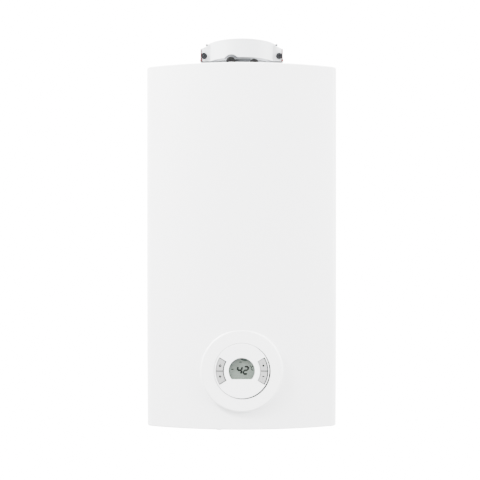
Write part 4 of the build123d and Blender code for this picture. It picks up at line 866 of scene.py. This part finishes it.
@dataclass
class Studio:
    """The floor, the lights and the camera at the picture's angle.

    The floor fades to the backdrop's white between two distances from its middle. The room's light grows from
    the front's to the room's own between two cosines of the angle from straight ahead of the casing.
    """

    floor_level: float = -0.62
    floor_rings: tuple[float, ...] = (0.4, 1.2, 2.5, 5.0, 9.0)
    floor_sides: int = 96
    floor_bounce: Colour = (0.3, 0.3, 0.3)
    floor_tones: tuple[Colour, Colour] = ((0.8, 0.8, 0.8), (0.84, 0.84, 0.84))
    fade_start: float = 0.3
    fade_end: float = 0.7
    backdrop_white: float = 17.0
    room_light: float = 7.7
    front_light: float = 0.3
    front_cosine: float = 0.97
    room_cosine: float = 0.62
    lamps: tuple[Lamp, ...] = (
        Lamp("key", (-1.5, -1.0, 1.6), (0, -0.1, -0.05), 0.5, 265),
        Lamp("fill", (1.9, -0.8, 0.45), (0, -0.1, 0), 1.1, 105),
        Lamp("back", (0.6, 1.6, 1.2), (0, 0, 0), 1.6, 30),
    )
    focal_pixels: float = 823.0
    frame_pixels: float = 480.0
    horizon_below: float = 22.0
    sensor_width: float = 36.0
    nearest: float = 0.01
    eye: Place = (-0.0027, -1.437, -0.0239)

    def floor(self) -> None:
        """A round pale floor, matt near the heater and fading into the background's white further out."""
        turn = np.linspace(0, 2 * pi, self.floor_sides, endpoint=False)
        radii = np.array(self.floor_rings)[:, None]
        across, deep = radii * np.cos(turn), radii * np.sin(turn)
        flat = np.stack([across, deep, np.full_like(across, self.floor_level)], axis=-1)
        faces = [tuple(face) for face in grid_faces(len(radii), self.floor_sides, True)]
        data = bpy.data.meshes.new("floor")
        data.from_pydata(flat.reshape(-1, 3).tolist(), [], faces + [tuple(range(self.floor_sides))])
        data.update()
        data.materials.append(self.floor_paper())
        floor = bpy.data.objects.new("floor", data)
        bpy.context.scene.collection.objects.link(floor)

    def floor_paper(self) -> bpy.types.Material:
        """Mottled matt paper, which only the camera sees fade to white with the distance from the middle.

        Returns:
            The material.
        """
        graph = MaterialGraph("floor_paper")
        reach = (graph.along(Axis.X) ** 2.0 + graph.along(Axis.Y) ** 2.0) ** 0.5
        mottle = graph.noise(3.0, detail=3.0)
        seen = Value(graph, graph.node("ShaderNodeLightPath").outputs["Is Camera Ray"])
        colour = graph.mix(seen, self.floor_bounce, graph.mix(mottle, *self.floor_tones))
        paper = graph.node("ShaderNodeBsdfDiffuse", {"Color": colour})
        glow = graph.node("ShaderNodeEmission", {"Color": WHITE, "Strength": self.backdrop_white})
        reaches = {"Value": reach, "From Min": self.fade_start, "From Max": self.fade_end}
        share = Value(graph, graph.node("ShaderNodeMapRange", reaches, clamp=True).outputs[0]) * seen
        graph.show(graph.node("ShaderNodeMixShader", {0: share, 1: paper.outputs[0], 2: glow.outputs[0]}))
        return graph.material

    def room(self) -> None:
        """A white room that is dim right in front of the casing; the camera sees it as plain white."""
        world = bpy.data.worlds.new("studio")
        world.use_nodes = True
        graph = Graph(world.node_tree, "ShaderNodeOutputWorld")
        way = {0: graph.coordinates["Generated"], 1: (0, -1, 0)}
        ahead = graph.node("ShaderNodeVectorMath", way, operation="DOT_PRODUCT")
        levels = {
            "Value": ahead.outputs["Value"],
            "From Min": self.front_cosine,
            "From Max": self.room_cosine,
            "To Min": self.front_light,
            "To Max": self.room_light,
        }
        fall = graph.node("ShaderNodeMapRange", levels, interpolation_type="SMOOTHSTEP")
        soft = graph.node("ShaderNodeBackground", {0: WHITE, 1: fall.outputs["Result"]})
        plain = graph.node("ShaderNodeBackground", {0: WHITE, 1: self.backdrop_white})
        seen = graph.node("ShaderNodeLightPath").outputs["Is Camera Ray"]
        graph.show(graph.node("ShaderNodeMixShader", {0: seen, 1: soft.outputs[0], 2: plain.outputs[0]}))
        bpy.context.scene.world = world

    def camera(self) -> None:
        """Looks straight at the wall, with the horizon set a little below the picture's middle."""
        data = bpy.data.cameras.new("camera")
        data.sensor_width = self.sensor_width
        data.lens = self.focal_pixels / self.frame_pixels * self.sensor_width
        data.shift_y = self.horizon_below / self.frame_pixels
        data.clip_start = self.nearest
        camera = bpy.data.objects.new("camera", data)
        camera.location = self.eye
        camera.rotation_euler = (pi / 2, 0, 0)
        bpy.context.scene.collection.objects.link(camera)
        bpy.context.scene.camera = camera

    def build(self) -> None:
        """Floor, room, lamps and camera."""
        self.floor()
        self.room()
        for lamp in self.lamps:
            lamp.build()
        self.camera()
        log.info("studio set")


# Sub-assemblies


@dataclass
class Assembly:
    """A part of the heater that gets pieces of its own, and the materials to dress them in."""

    materials: Materials

    def piece(self, name: str, mesh: Mesh, finish: str, body: Body, slot: str) -> bpy.types.Object:
        """Puts worked-out points and faces into a mesh that rides on a body.

        Args:
            name: the piece's name.
            mesh: points in metres, and faces as rows of point numbers.
            finish: its finish's name.
            body: the moving group that it rides on.
            slot: the record's material slot; not used.

        Returns:
            The piece's object.
        """
        points, faces = mesh
        data = bpy.data.meshes.new(name)
        data.from_pydata(points.tolist(), [], [tuple(face) for face in faces])
        data.validate()
        data.update()
        data.materials.append(self.materials[finish])
        piece = bpy.data.objects.new(name, data)
        bpy.context.scene.collection.objects.link(piece)
        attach(piece, body.value)
        log.info("%s: %d faces on %s", name, len(data.polygons), body.value)
        return piece


@dataclass(frozen=True)
class Key:
    """One of the four keys: its body, its side (-1 left, 1 right) and its height (1 upper, -1 lower)."""

    name: str
    body: Body
    side: int
    height: int


KEYS = (
    Key("power", Body.POWER, -1, 1),
    Key("reset", Body.RESET, -1, -1),
    Key("plus", Body.PLUS, 1, 1),
    Key("minus", Body.MINUS, 1, -1),
)


@dataclass
class ControlPanel(Assembly):
    """The round panel: its screen's reading, the key marks, and the painted shadow lines round keys and
    fascia.

    A spot on the panel is x and z from its middle. Levels in depth are y, which grows towards the wall.
    """

    middle_z: float
    fascia_front: float
    screen_front: float
    key_front: float
    ink_front: float = 0.04
    ink_back: float = 0.005
    digits: tuple[tuple[str, float], ...] = (("fgbc", -3.4), ("abged", 6.3))
    digit_width: float = 6.3
    digit_height: float = 11.3
    digit_stroke: float = 2.8
    digit_tip: float = 0.36
    digit_gap: float = 0.04
    digit_rise: float = 0.7
    slant: float = 0.15
    shadow_radius: float = 20.28
    shadow_ends: tuple[float, float] = (-38, 218)
    shadow_widest: float = 130
    shadow_thin: float = 0.35
    shadow_swell: float = 0.75
    shadow_front: float = 0.012
    key_radius: float = 34.3
    key_angle: float = 14.0
    sign_proud: float = 0.03
    sign_sunk: float = 0.05
    pip_up: float = 3.9
    pip_down: float = 3.6
    pip_inward: float = 1.0
    pip_height: float = 0.04
    pip_sunk: float = 0.1
    groove_inner: float = 42.32
    groove_outer: float = 43.08
    shadow_lean: float = 25
    seal_mean: float = 0.6
    seal_sway: float = 0.4
    seal_front: float = 1.15
    seal_round: float = 0.12
    seal_depth: float = 0.9
    boss_front: float = 1.0
    lap_reach: float = 1.6
    lap_inward: float = 0.1
    lap_proud: float = 0.04
    lap_sunk: float = 0.05
    lip_inner: float = 28.95
    lip_outer: float = 39.65
    lip_half_angle: float = 30.0
    lip_width: float = 1.0
    lip_shade_shift: float = 0.5
    lip_proud: float = 0.05
    lip_sunk: float = 0.2
    web_half: float = 0.2
    web_inset: float = 0.35
    web_front: float = 0.02
    web_back: float = 1.2
    web_edge: float = 0.1

    def print_levels(self) -> Spot:
        """The front and the back of what is printed between the screen and its window."""
        return self.screen_front - self.ink_front, self.screen_front - self.ink_back

    def bar(self, start: Spot, end: Spot) -> Loop:
        """A bar of a figure with a blunt point at both ends, set half a stroke to both sides of its line.

        Args:
            start: x and z of its first end.
            end: x and z of its last end.

        Returns:
            Its six corners.
        """
        a, b = np.array(start, float), np.array(end, float)
        along = (b - a) / np.linalg.norm(b - a)
        side = np.array([-along[1], along[0]]) * self.digit_stroke / 2
        tip = along * self.digit_stroke * self.digit_tip
        gap = along * self.digit_stroke * self.digit_gap
        return np.array([a + gap, a + tip - side, b - tip - side, b - gap, b - tip + side, a + tip + side])

    def digit(self, bars: str, x: float) -> list[Loop]:
        """A seven-bar figure, whose points lean right by the slant times their height over its middle.

        Args:
            bars: its bars' letters, a to f from the top clockwise and g in the middle.
            x: x of its middle.

        Returns:
            The bars' outlines, in their places.
        """
        w, h = self.digit_width / 2, self.digit_height / 2
        ends = {
            "a": ((-w, h), (w, h)),
            "b": ((w, h), (w, 0)),
            "c": ((w, 0), (w, -h)),
            "d": ((-w, -h), (w, -h)),
            "e": ((-w, -h), (-w, 0)),
            "f": ((-w, 0), (-w, h)),
            "g": ((-w, 0), (w, 0)),
        }
        upright = [self.bar(*ends[letter]) for letter in bars]
        level = self.middle_z + self.digit_rise
        return [
            np.column_stack([x + bar[:, 0] + self.slant * bar[:, 1], level + bar[:, 1]]) for bar in upright
        ]

    def figures(self) -> None:
        """The reading 42, as a shower's temperature."""
        bars = [bar for letters, x in self.digits for bar in self.digit(letters, x)]
        mesh = joined(*[slab(bar, *self.print_levels()) for bar in bars])
        self.piece("screen_figures", mesh, "lcd_ink", Body.COVER, "black_plastic")

    def symbols(self) -> None:
        """The degree sign, C, two dashes, and a tap near the window's top, each a line and its width."""
        cee_level, cee_stretch = 3.9, 1.6
        cee = arc_path(16.9, cee_level, 1.9, 60, 300, count=15)
        cee[:, 1] = cee_level + (cee[:, 1] - cee_level) * cee_stretch
        lines = [
            (arc_path(13.2, 7.1, 0.75, 0, 360, count=17), 0.7),
            (cee, 1.15),
            (np.array([(-16.2, 2.1), (-12.6, 2.1)]), 1.3),
            (np.array([(-3.8, 13.3), (-0.2, 13.3)]), 1.5),
            (np.array([(-1.6, 17.9), (0.4, 17.5), (1.9, 16.6), (5.0, 16.2), (8.4, 16.5)]), 1.3),
        ]
        middle = np.array([0, self.middle_z])
        mesh = joined(*[stroke(path + middle, width, *self.print_levels()) for path, width in lines])
        self.piece("screen_symbols", mesh, "lcd_faint", Body.COVER, "black_plastic")

    def screen_shade(self) -> None:
        """A dark band on the screen just inside its window, painted as the shadow of the sunk window's edge.

        Its width is thin + swell (1 + cos(angle - widest)) / 2, so that it is wider at the top and left,
        where the shadow falls.
        """
        # Painted shadow: a dark band inside the window, wider at the top and left.
        turn = np.radians(np.linspace(*self.shadow_ends, 65))
        swell = 0.5 + 0.5 * np.cos(turn - radians(self.shadow_widest))
        outer = np.column_stack([self.shadow_radius * np.cos(turn), self.shadow_radius * np.sin(turn)])
        inner = outer * (1 - (self.shadow_thin + self.shadow_swell * swell) / self.shadow_radius)[:, None]
        spots = np.vstack([outer, inner]) + np.array([0, self.middle_z])
        points = at_depth(spots, self.screen_front - self.shadow_front) * MM
        count = len(turn)
        first = np.arange(count - 1)
        faces = np.stack([first, first + count, first + count + 1, first + 1], axis=-1)
        self.piece("screen_painted_shadow", (points, faces.tolist()), "lcd_painted_shadow", Body.COVER, "lcd")

    def key_middle(self, key: Key) -> Spot:
        """Where a key's mark stands on the panel."""
        turn = radians(self.key_angle)
        return key.side * self.key_radius * cos(turn), key.height * self.key_radius * sin(turn)

    def key_marks(self) -> None:
        """A generic sign printed on each key, as lines and their widths: on and off, reset, more and less."""
        across, upright = np.array([(-1.7, 0), (1.7, 0)]), np.array([(0, -1.7), (0, 1.7)])
        stem, arrow = np.array([(0, 0.2), (0, 2.3)]), np.array([(2.0, 0.45), (1.1, -0.6), (0.2, 0.45)])
        signs = {
            "power": [(arc_path(0, -0.1, 1.45, 125, 415, count=19), 1.45), (stem, 1.3)],
            "reset": [(arc_path(0, 0, 1.1, 60, 340, count=17), 1.45), (arrow, 1.1)],
            "plus": [(across, 1.65), (upright, 1.65)],
            "minus": [(across, 1.8)],
        }
        front, back = self.key_front - self.sign_proud, self.key_front + self.sign_sunk
        for key in KEYS:
            x, z = self.key_middle(key)
            middle = np.array([x, z + self.middle_z])
            mesh = joined(*[stroke(path + middle, width, front, back) for path, width in signs[key.name]])
            self.piece(f"{key.name}_sign", mesh, "sign_ink", key.body, "black_plastic")

    def key_pips(self) -> None:
        """A low raised pip on each key, for the finger: a dome of height h (1 - (r/R) squared)."""
        radius = np.array([0.3, 0.6, 0.85, 1.0, 1.05])
        dome = np.column_stack([radius, -self.pip_height * (1 - radius.clip(0, 1) ** 2)])
        dome[-1, 1] = self.pip_sunk
        for key in KEYS:
            x, z = self.key_middle(key)
            x -= key.side * self.pip_inward
            z += (self.pip_up if key.height > 0 else -self.pip_down) + self.middle_z
            mesh = spun(dome, Vector((x, self.key_front, z)), count=16, along=Axis.Y)
            self.piece(f"{key.name}_pip", mesh, "pip_plastic", key.body, "key_plastic")

    def groove(self) -> None:
        """The groove's dark seal, partly painted shadow, and its lip of painted shadow lapping the boss on
        the right.

        The seal lies in the groove round the fascia. Its width is mean + sway cos(angle + lean) of the
        groove's, and the lip's is its reach times that cosine, where it is over nought, so both are widest at
        the lower right, where the fascia's shade falls.
        """
        count = 120
        # Painted shadow: the dark seal widens, and its lip appears, towards the lower right.
        lean = np.cos(np.arange(count) * 2 * pi / count + radians(self.shadow_lean))
        outer = np.full(count, self.groove_outer)
        inner = outer - (self.groove_outer - self.groove_inner) * (self.seal_mean + self.seal_sway * lean)
        front = self.fascia_front + self.seal_front
        side, back = front + self.seal_round, front + self.seal_depth
        seal = [(inner, back), (inner, side), ((inner + outer) / 2, front), (outer, side), (outer, back)]
        face = self.fascia_front + self.boss_front
        start, edge = outer - self.lap_inward, outer + self.lap_reach * lean.clip(0, 1)
        front, back = face - self.lap_proud, face + self.lap_sunk
        lip = [(start, back), (start, front), (edge, front), (edge, back)]
        mesh = joined(hoop(seal, self.middle_z), hoop(lip, self.middle_z))
        self.piece("groove_seal_and_shadow", mesh, "groove_shadow_grey", Body.COVER, "grey_plastic")

    def surrounds(self) -> None:
        """Dark lips of painted shadow round the two pairs of keys, each a band round a ring's sector."""
        front, back = self.fascia_front - self.lip_proud, self.fascia_front + self.lip_sunk
        bands = []
        for middle in (0.0, 180.0):
            loops = []
            # The outer loop is shifted right, so the painted shadow lips are wider on the right.
            for spread, shift in ((0.0, 0.0), (self.lip_width, self.lip_shade_shift)):
                reach = degrees(spread / self.key_radius)
                low, high = middle - self.lip_half_angle - reach, middle + self.lip_half_angle + reach
                outer = arc_path(0, 0, self.lip_outer + spread, low, high, count=33)
                inner = arc_path(0, 0, self.lip_inner - spread, high, low, count=33)
                loops.append(np.vstack([outer, inner]) + np.array([shift, self.middle_z]))
            rings = [(loops[0], back), (loops[0], front), (loops[1], front), (loops[1], back)]
            bands.append(band(rings, False))
        self.piece("key_shadow_lips", joined(*bands), "surround_shadow_grey", Body.COVER, "grey_plastic")

    def webs(self) -> None:
        """Rubber webs in the gap between the keys of a pair, rounded at both ends and near black as painted
        shadow.
        """
        half = self.web_half
        front, back = self.fascia_front + self.web_front, self.fascia_front + self.web_back
        made = []
        for side in (-1, 1):
            ends = (side * (self.lip_inner + self.web_inset), side * (self.lip_outer - self.web_inset))
            right = arc_path(max(ends) - half, self.middle_z, half, -90, 90, count=7)
            left = arc_path(min(ends) + half, self.middle_z, half, 90, 270, count=7)
            made.append(slab(np.vstack([right, left]), front, back, self.web_edge))
        # Painted shadow: the webs are near black to stand for the gap's shade.
        self.piece("key_web_shadows", joined(*made), "sign_ink", Body.COVER, "black_rubber")

    def build(self) -> None:
        """All of the panel's printed and moulded details, and its painted shadows."""
        self.webs()
        self.surrounds()
        self.figures()
        self.symbols()
        self.screen_shade()
        self.key_marks()
        self.key_pips()
        self.groove()


@dataclass(frozen=True)
class Cap:
    """A rubber cap on a test port: the middle of its face and its radius."""

    x: float
    z: float
    radius: float


@dataclass
class FlueCollar(Assembly):
    """What is seen on the collar besides its solids.

    These are the pad behind the left port, partly painted shade, the gasket's edges, dark bulbs, and the
    caps' middles.
    """

    left_cap: Cap = Cap(-17.0, 290.5, 7.5)
    right_cap: Cap = Cap(19.5, 288.0, 6.8)
    dish_reach: float = 0.62
    dish_depth: float = 0.55
    dish_sunk: float = 0.1
    dish_forward: float = 0.3
    axis_y: float = -85.0
    ledge: float = 297.0
    pad_radius: float = 12.6
    pad_front: float = 57.6
    pad_back: float = 55.7
    pad_least_square: float = 0.01
    pad_least_height: float = 0.02
    pad_columns: int = 33
    pad_rows: int = 9
    ear_plane: float = 26.5
    bead_x: float = 65.25
    bead_radius: float = 1.05
    bead_foot: float = 297.9
    bead_top: float = 318.4
    bead_depth: float = 2.5
    bead_forward: float = 2.3
    bead_ripple: float = 0.1
    ripple_rate: float = 1.7
    bead_closing: float = 0.35
    bead_tip: float = 0.4
    bulge: float = 0.75
    bulge_rise: float = 1.6
    bulge_spread: float = 2.6
    corner_x: float = 56.0
    corner_foot: float = 323.7

    def dish(self, cap: Cap) -> Loop:
        """A dished middle and the bead round it: the dish falls as the cosine of the way in from the bead.

        Args:
            cap: the cap that it sits in.

        Returns:
            The profile from the middle outwards, as rows of radius and height.
        """
        share = np.linspace(0.05, self.dish_reach, 9)
        height = self.dish_depth * (0.5 + 0.5 * np.cos(np.pi * share / self.dish_reach)) - self.dish_sunk
        bead = np.array([(0.68, -0.45), (0.74, -0.3), (0.76, 0.3)]) * np.array([cap.radius, 1.0])
        return np.vstack([np.column_stack([share * cap.radius, height - self.dish_forward]), bead])

    def rim(self, cap: Cap) -> Loop:
        """The profile of a thin rim round a cap, as rows of radius and height."""
        shares = np.array([(0.74, 1.5), (0.74, -0.3), (0.92, -0.35), (1.0, 0.1), (1.0, 3.0)])
        return shares * np.array([cap.radius, 1.0])

    def cap_middles(self) -> None:
        """The caps' dished middles, sunk a little into their faces, and the right cap's rim."""
        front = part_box("port_caps")[0].y / MM
        rows = [
            (self.dish(self.left_cap), self.left_cap),
            (self.dish(self.right_cap), self.right_cap),
            (self.rim(self.right_cap), self.right_cap),
        ]
        parts = [
            spun(profile, Vector((cap.x, front, cap.z)), count=40, along=Axis.Y) for profile, cap in rows
        ]
        self.piece("cap_middles", joined(*parts), "cap_grey", Body.CHASSIS, "black_rubber")

    def pad(self) -> None:
        """The cast pad that carries the left port and fills the shell's notch; its dark colour is partly
        painted shade.

        Over a disc of radius R round the port, the front stands on the shell's own curve,
        y = c - sqrt(r^2 - x^2), and the back on a smaller one; columns of points run from the ledge up to
        the disc's edge, and a strip of faces joins the two along their rims.
        """
        rows, columns, port = self.pad_rows, self.pad_columns, self.left_cap
        x = port.x + self.pad_radius * np.linspace(-1, 1, columns)
        foot = np.full_like(x, self.ledge)
        square = np.maximum(self.pad_radius**2 - (x - port.x) ** 2, self.pad_least_square)
        top = np.maximum(port.z + np.sqrt(square), foot + self.pad_least_height)
        level = foot + (top - foot) * np.linspace(0, 1, rows)[:, None]
        wide = np.broadcast_to(x, level.shape)
        sides = []
        for radius in (self.pad_front, self.pad_back):
            y = self.axis_y - np.sqrt(radius**2 - x**2)
            sides.append(np.stack([wide, np.broadcast_to(y, level.shape), level], axis=-1))
        front = grid_faces(rows, columns, False)
        count = rows * columns
        along_foot = np.arange(columns)
        up_right = columns - 1 + columns * np.arange(1, rows)
        along_top = (rows - 1) * columns + np.arange(columns - 2, -1, -1)
        down_left = columns * np.arange(rows - 2, 0, -1)
        edge = np.concatenate([along_foot, up_right, along_top, down_left])
        after = np.roll(edge, -1)
        strip = np.stack([edge, edge + count, after + count, after], axis=-1)
        faces = np.concatenate([front, front[:, ::-1] + count, strip]).tolist()
        points = np.stack(sides).reshape(-1, 3) * MM
        # Dark as painted shade in the notch, as well as cast metal.
        self.piece("port_pad", (points, faces), "cast_pad_shaded", Body.CHASSIS, "aluminium")

    def beads(self) -> None:
        """The gasket's edges, squeezed out and wrapped round the ears' ends, and dark bulbs above the ears.

        An edge is an upright tube, drawn out in depth. Its radius is r + bulge exp(-((z - foot - rise) /
        spread)^2), with a slight ripple. A corner is a small bulb.
        """
        level = np.linspace(self.bead_foot, self.bead_top, 41)
        swell = self.bulge * np.exp(-(((level - self.bead_foot - self.bulge_rise) / self.bulge_spread) ** 2))
        radius = self.bead_radius + swell + self.bead_ripple * np.sin(level * self.ripple_rate)
        radius[[0, -1]] *= self.bead_closing
        level[[0, -1]] += [-self.bead_tip, self.bead_tip]
        tube = np.column_stack([radius, level])
        bulb = np.array([(0.3, 0.0), (1.6, 0.5), (2.1, 1.7), (1.6, 2.9), (0.3, 3.4)]) + [0, self.corner_foot]
        y = self.axis_y - self.ear_plane
        edges, ends = [], []
        for side in (-1, 1):
            points, faces = spun(tube, Vector((side * self.bead_x, 0, 0)), count=14, along=Axis.Z)
            points[:, 1] = points[:, 1] * self.bead_depth + (y - self.bead_forward) * MM
            edges.append((points, faces))
            ends.append(spun(bulb, Vector((side * self.corner_x, y, 0)), count=12, along=Axis.Z))
        self.piece("gasket_beads", joined(*edges), "red_silicone", Body.CHASSIS, "red_silicone")
        self.piece("ear_corner_bulbs", joined(*ends), "cap_grey", Body.CHASSIS, "black_rubber")

    def build(self) -> None:
        """The pad, the gasket's edges and the caps' middles."""
        self.pad()
        self.beads()
        self.cap_middles()


class Section(IntEnum):
    """The outline of a turned piece at one height."""

    ROUND = 0
    SIX_SIDED = 1
    RIBBED = 2


@dataclass
class CableGland(Assembly):
    """The gland under the foot: a lock nut above the panel, a hexagon below it, and a ribbed domed nut."""

    x: float = -36.0
    y: float = -116.0
    panel_top: float = -279.3
    panel_foot: float = -280.8
    bore: float = 4.0
    thread: float = 7.9
    low: float = -292.4
    ribs: int = 16
    rib_depth: float = 0.035
    count: int = 96

    def profile(self) -> np.ndarray:
        """The gland's rings, from the lock nut's top down its outside, and up through the bore.

        Returns:
            Rows of radius, height and section.
        """
        top, foot = self.panel_top, self.panel_foot
        return np.array(
            [
                (self.bore, top + 9.0, Section.ROUND),
                (self.thread - 0.5, top + 9.0, Section.ROUND),
                (self.thread, top + 8.4, Section.ROUND),
                (self.thread, top + 4.2, Section.ROUND),
                (9.9, top + 4.1, Section.SIX_SIDED),
                (10.7, top + 3.4, Section.SIX_SIDED),
                (10.7, top + 0.1, Section.SIX_SIDED),
                (self.thread, top + 0.05, Section.ROUND),
                (self.thread, foot - 0.05, Section.ROUND),
                (9.0, foot - 0.1, Section.SIX_SIDED),
                (9.0, foot - 3.2, Section.SIX_SIDED),
                (8.3, foot - 3.6, Section.ROUND),
                (8.6, foot - 4.0, Section.RIBBED),
                (8.5, foot - 7.2, Section.RIBBED),
                (7.6, foot - 9.2, Section.RIBBED),
                (6.0, foot - 10.8, Section.RIBBED),
                (5.0, self.low, Section.ROUND),
                (self.bore + 0.5, self.low, Section.ROUND),
                (self.bore, self.low + 0.5, Section.ROUND),
            ]
        )

    def build(self) -> None:
        """Turns the profile round the gland's axis, and joins its last ring to its first.

        The radius is r where it is round, r cos 30 / cos of the angle from the nearest flat's middle where
        it is six-sided, and r less a small wave of ribs where it is ribbed.
        """
        rows, count = self.profile(), self.count
        turn = np.arange(count) * 2 * pi / count
        flat = cos(pi / 6) / np.cos((turn + pi / 6) % (pi / 3) - pi / 6)
        rib = 1 - self.rib_depth * (0.5 + 0.5 * np.cos(self.ribs * turn))
        factor = np.stack([np.ones(count), flat, rib])[rows[:, 2].astype(int)]
        radius = rows[:, :1] * factor
        level = np.repeat(rows[:, 1:2], count, axis=1)
        points = np.stack([self.x + radius * np.cos(turn), self.y + radius * np.sin(turn), level], axis=-1)
        here = np.arange(len(rows) * count).reshape(len(rows), count)
        below = np.roll(here, -1, axis=0)
        faces = np.stack([here, below, np.roll(below, -1, axis=1), np.roll(here, -1, axis=1)], axis=-1)
        mesh = (points.reshape(-1, 3) * MM, faces.reshape(-1, 4).tolist())
        gland = self.piece("gland_dressed", mesh, "grey_plastic", Body.CHASSIS, "grey_plastic")
        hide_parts("cable_gland")


def dress_nodes(frame: dict) -> Materials:
    """Gives every CAD node the finish of its material slot, or its own where that differs.


    Returns:
        The materials by name.
    """
    materials = {finish.name: finish.build() for finish in FINISHES}
    for row in frame["record"]["subparts"]:
        name = row["node"]
        finish = OWN_FINISHES.get(name, row["material_slot"])
        node = frame["nodes"][name]
        node.data.materials.clear()
        node.data.materials.append(materials[finish])
        log.info("%s dressed in %s", name, finish)
    return materials


def main() -> None:
    """Builds the scene in order."""
    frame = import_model()
    materials = dress_nodes(frame)
    Studio().build()
    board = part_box("display_board")
    panel = ControlPanel(
        materials,
        middle_z=(board[0].z + board[1].z) / 2 / MM,
        fascia_front=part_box("fascia")[0].y / MM,
        screen_front=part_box("screen_module")[0].y / MM,
        key_front=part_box("key_power")[0].y / MM,
    )
    panel.build()
    FlueCollar(materials).build()
    CableGland(materials).build()


if __name__ == "__main__":
    main()
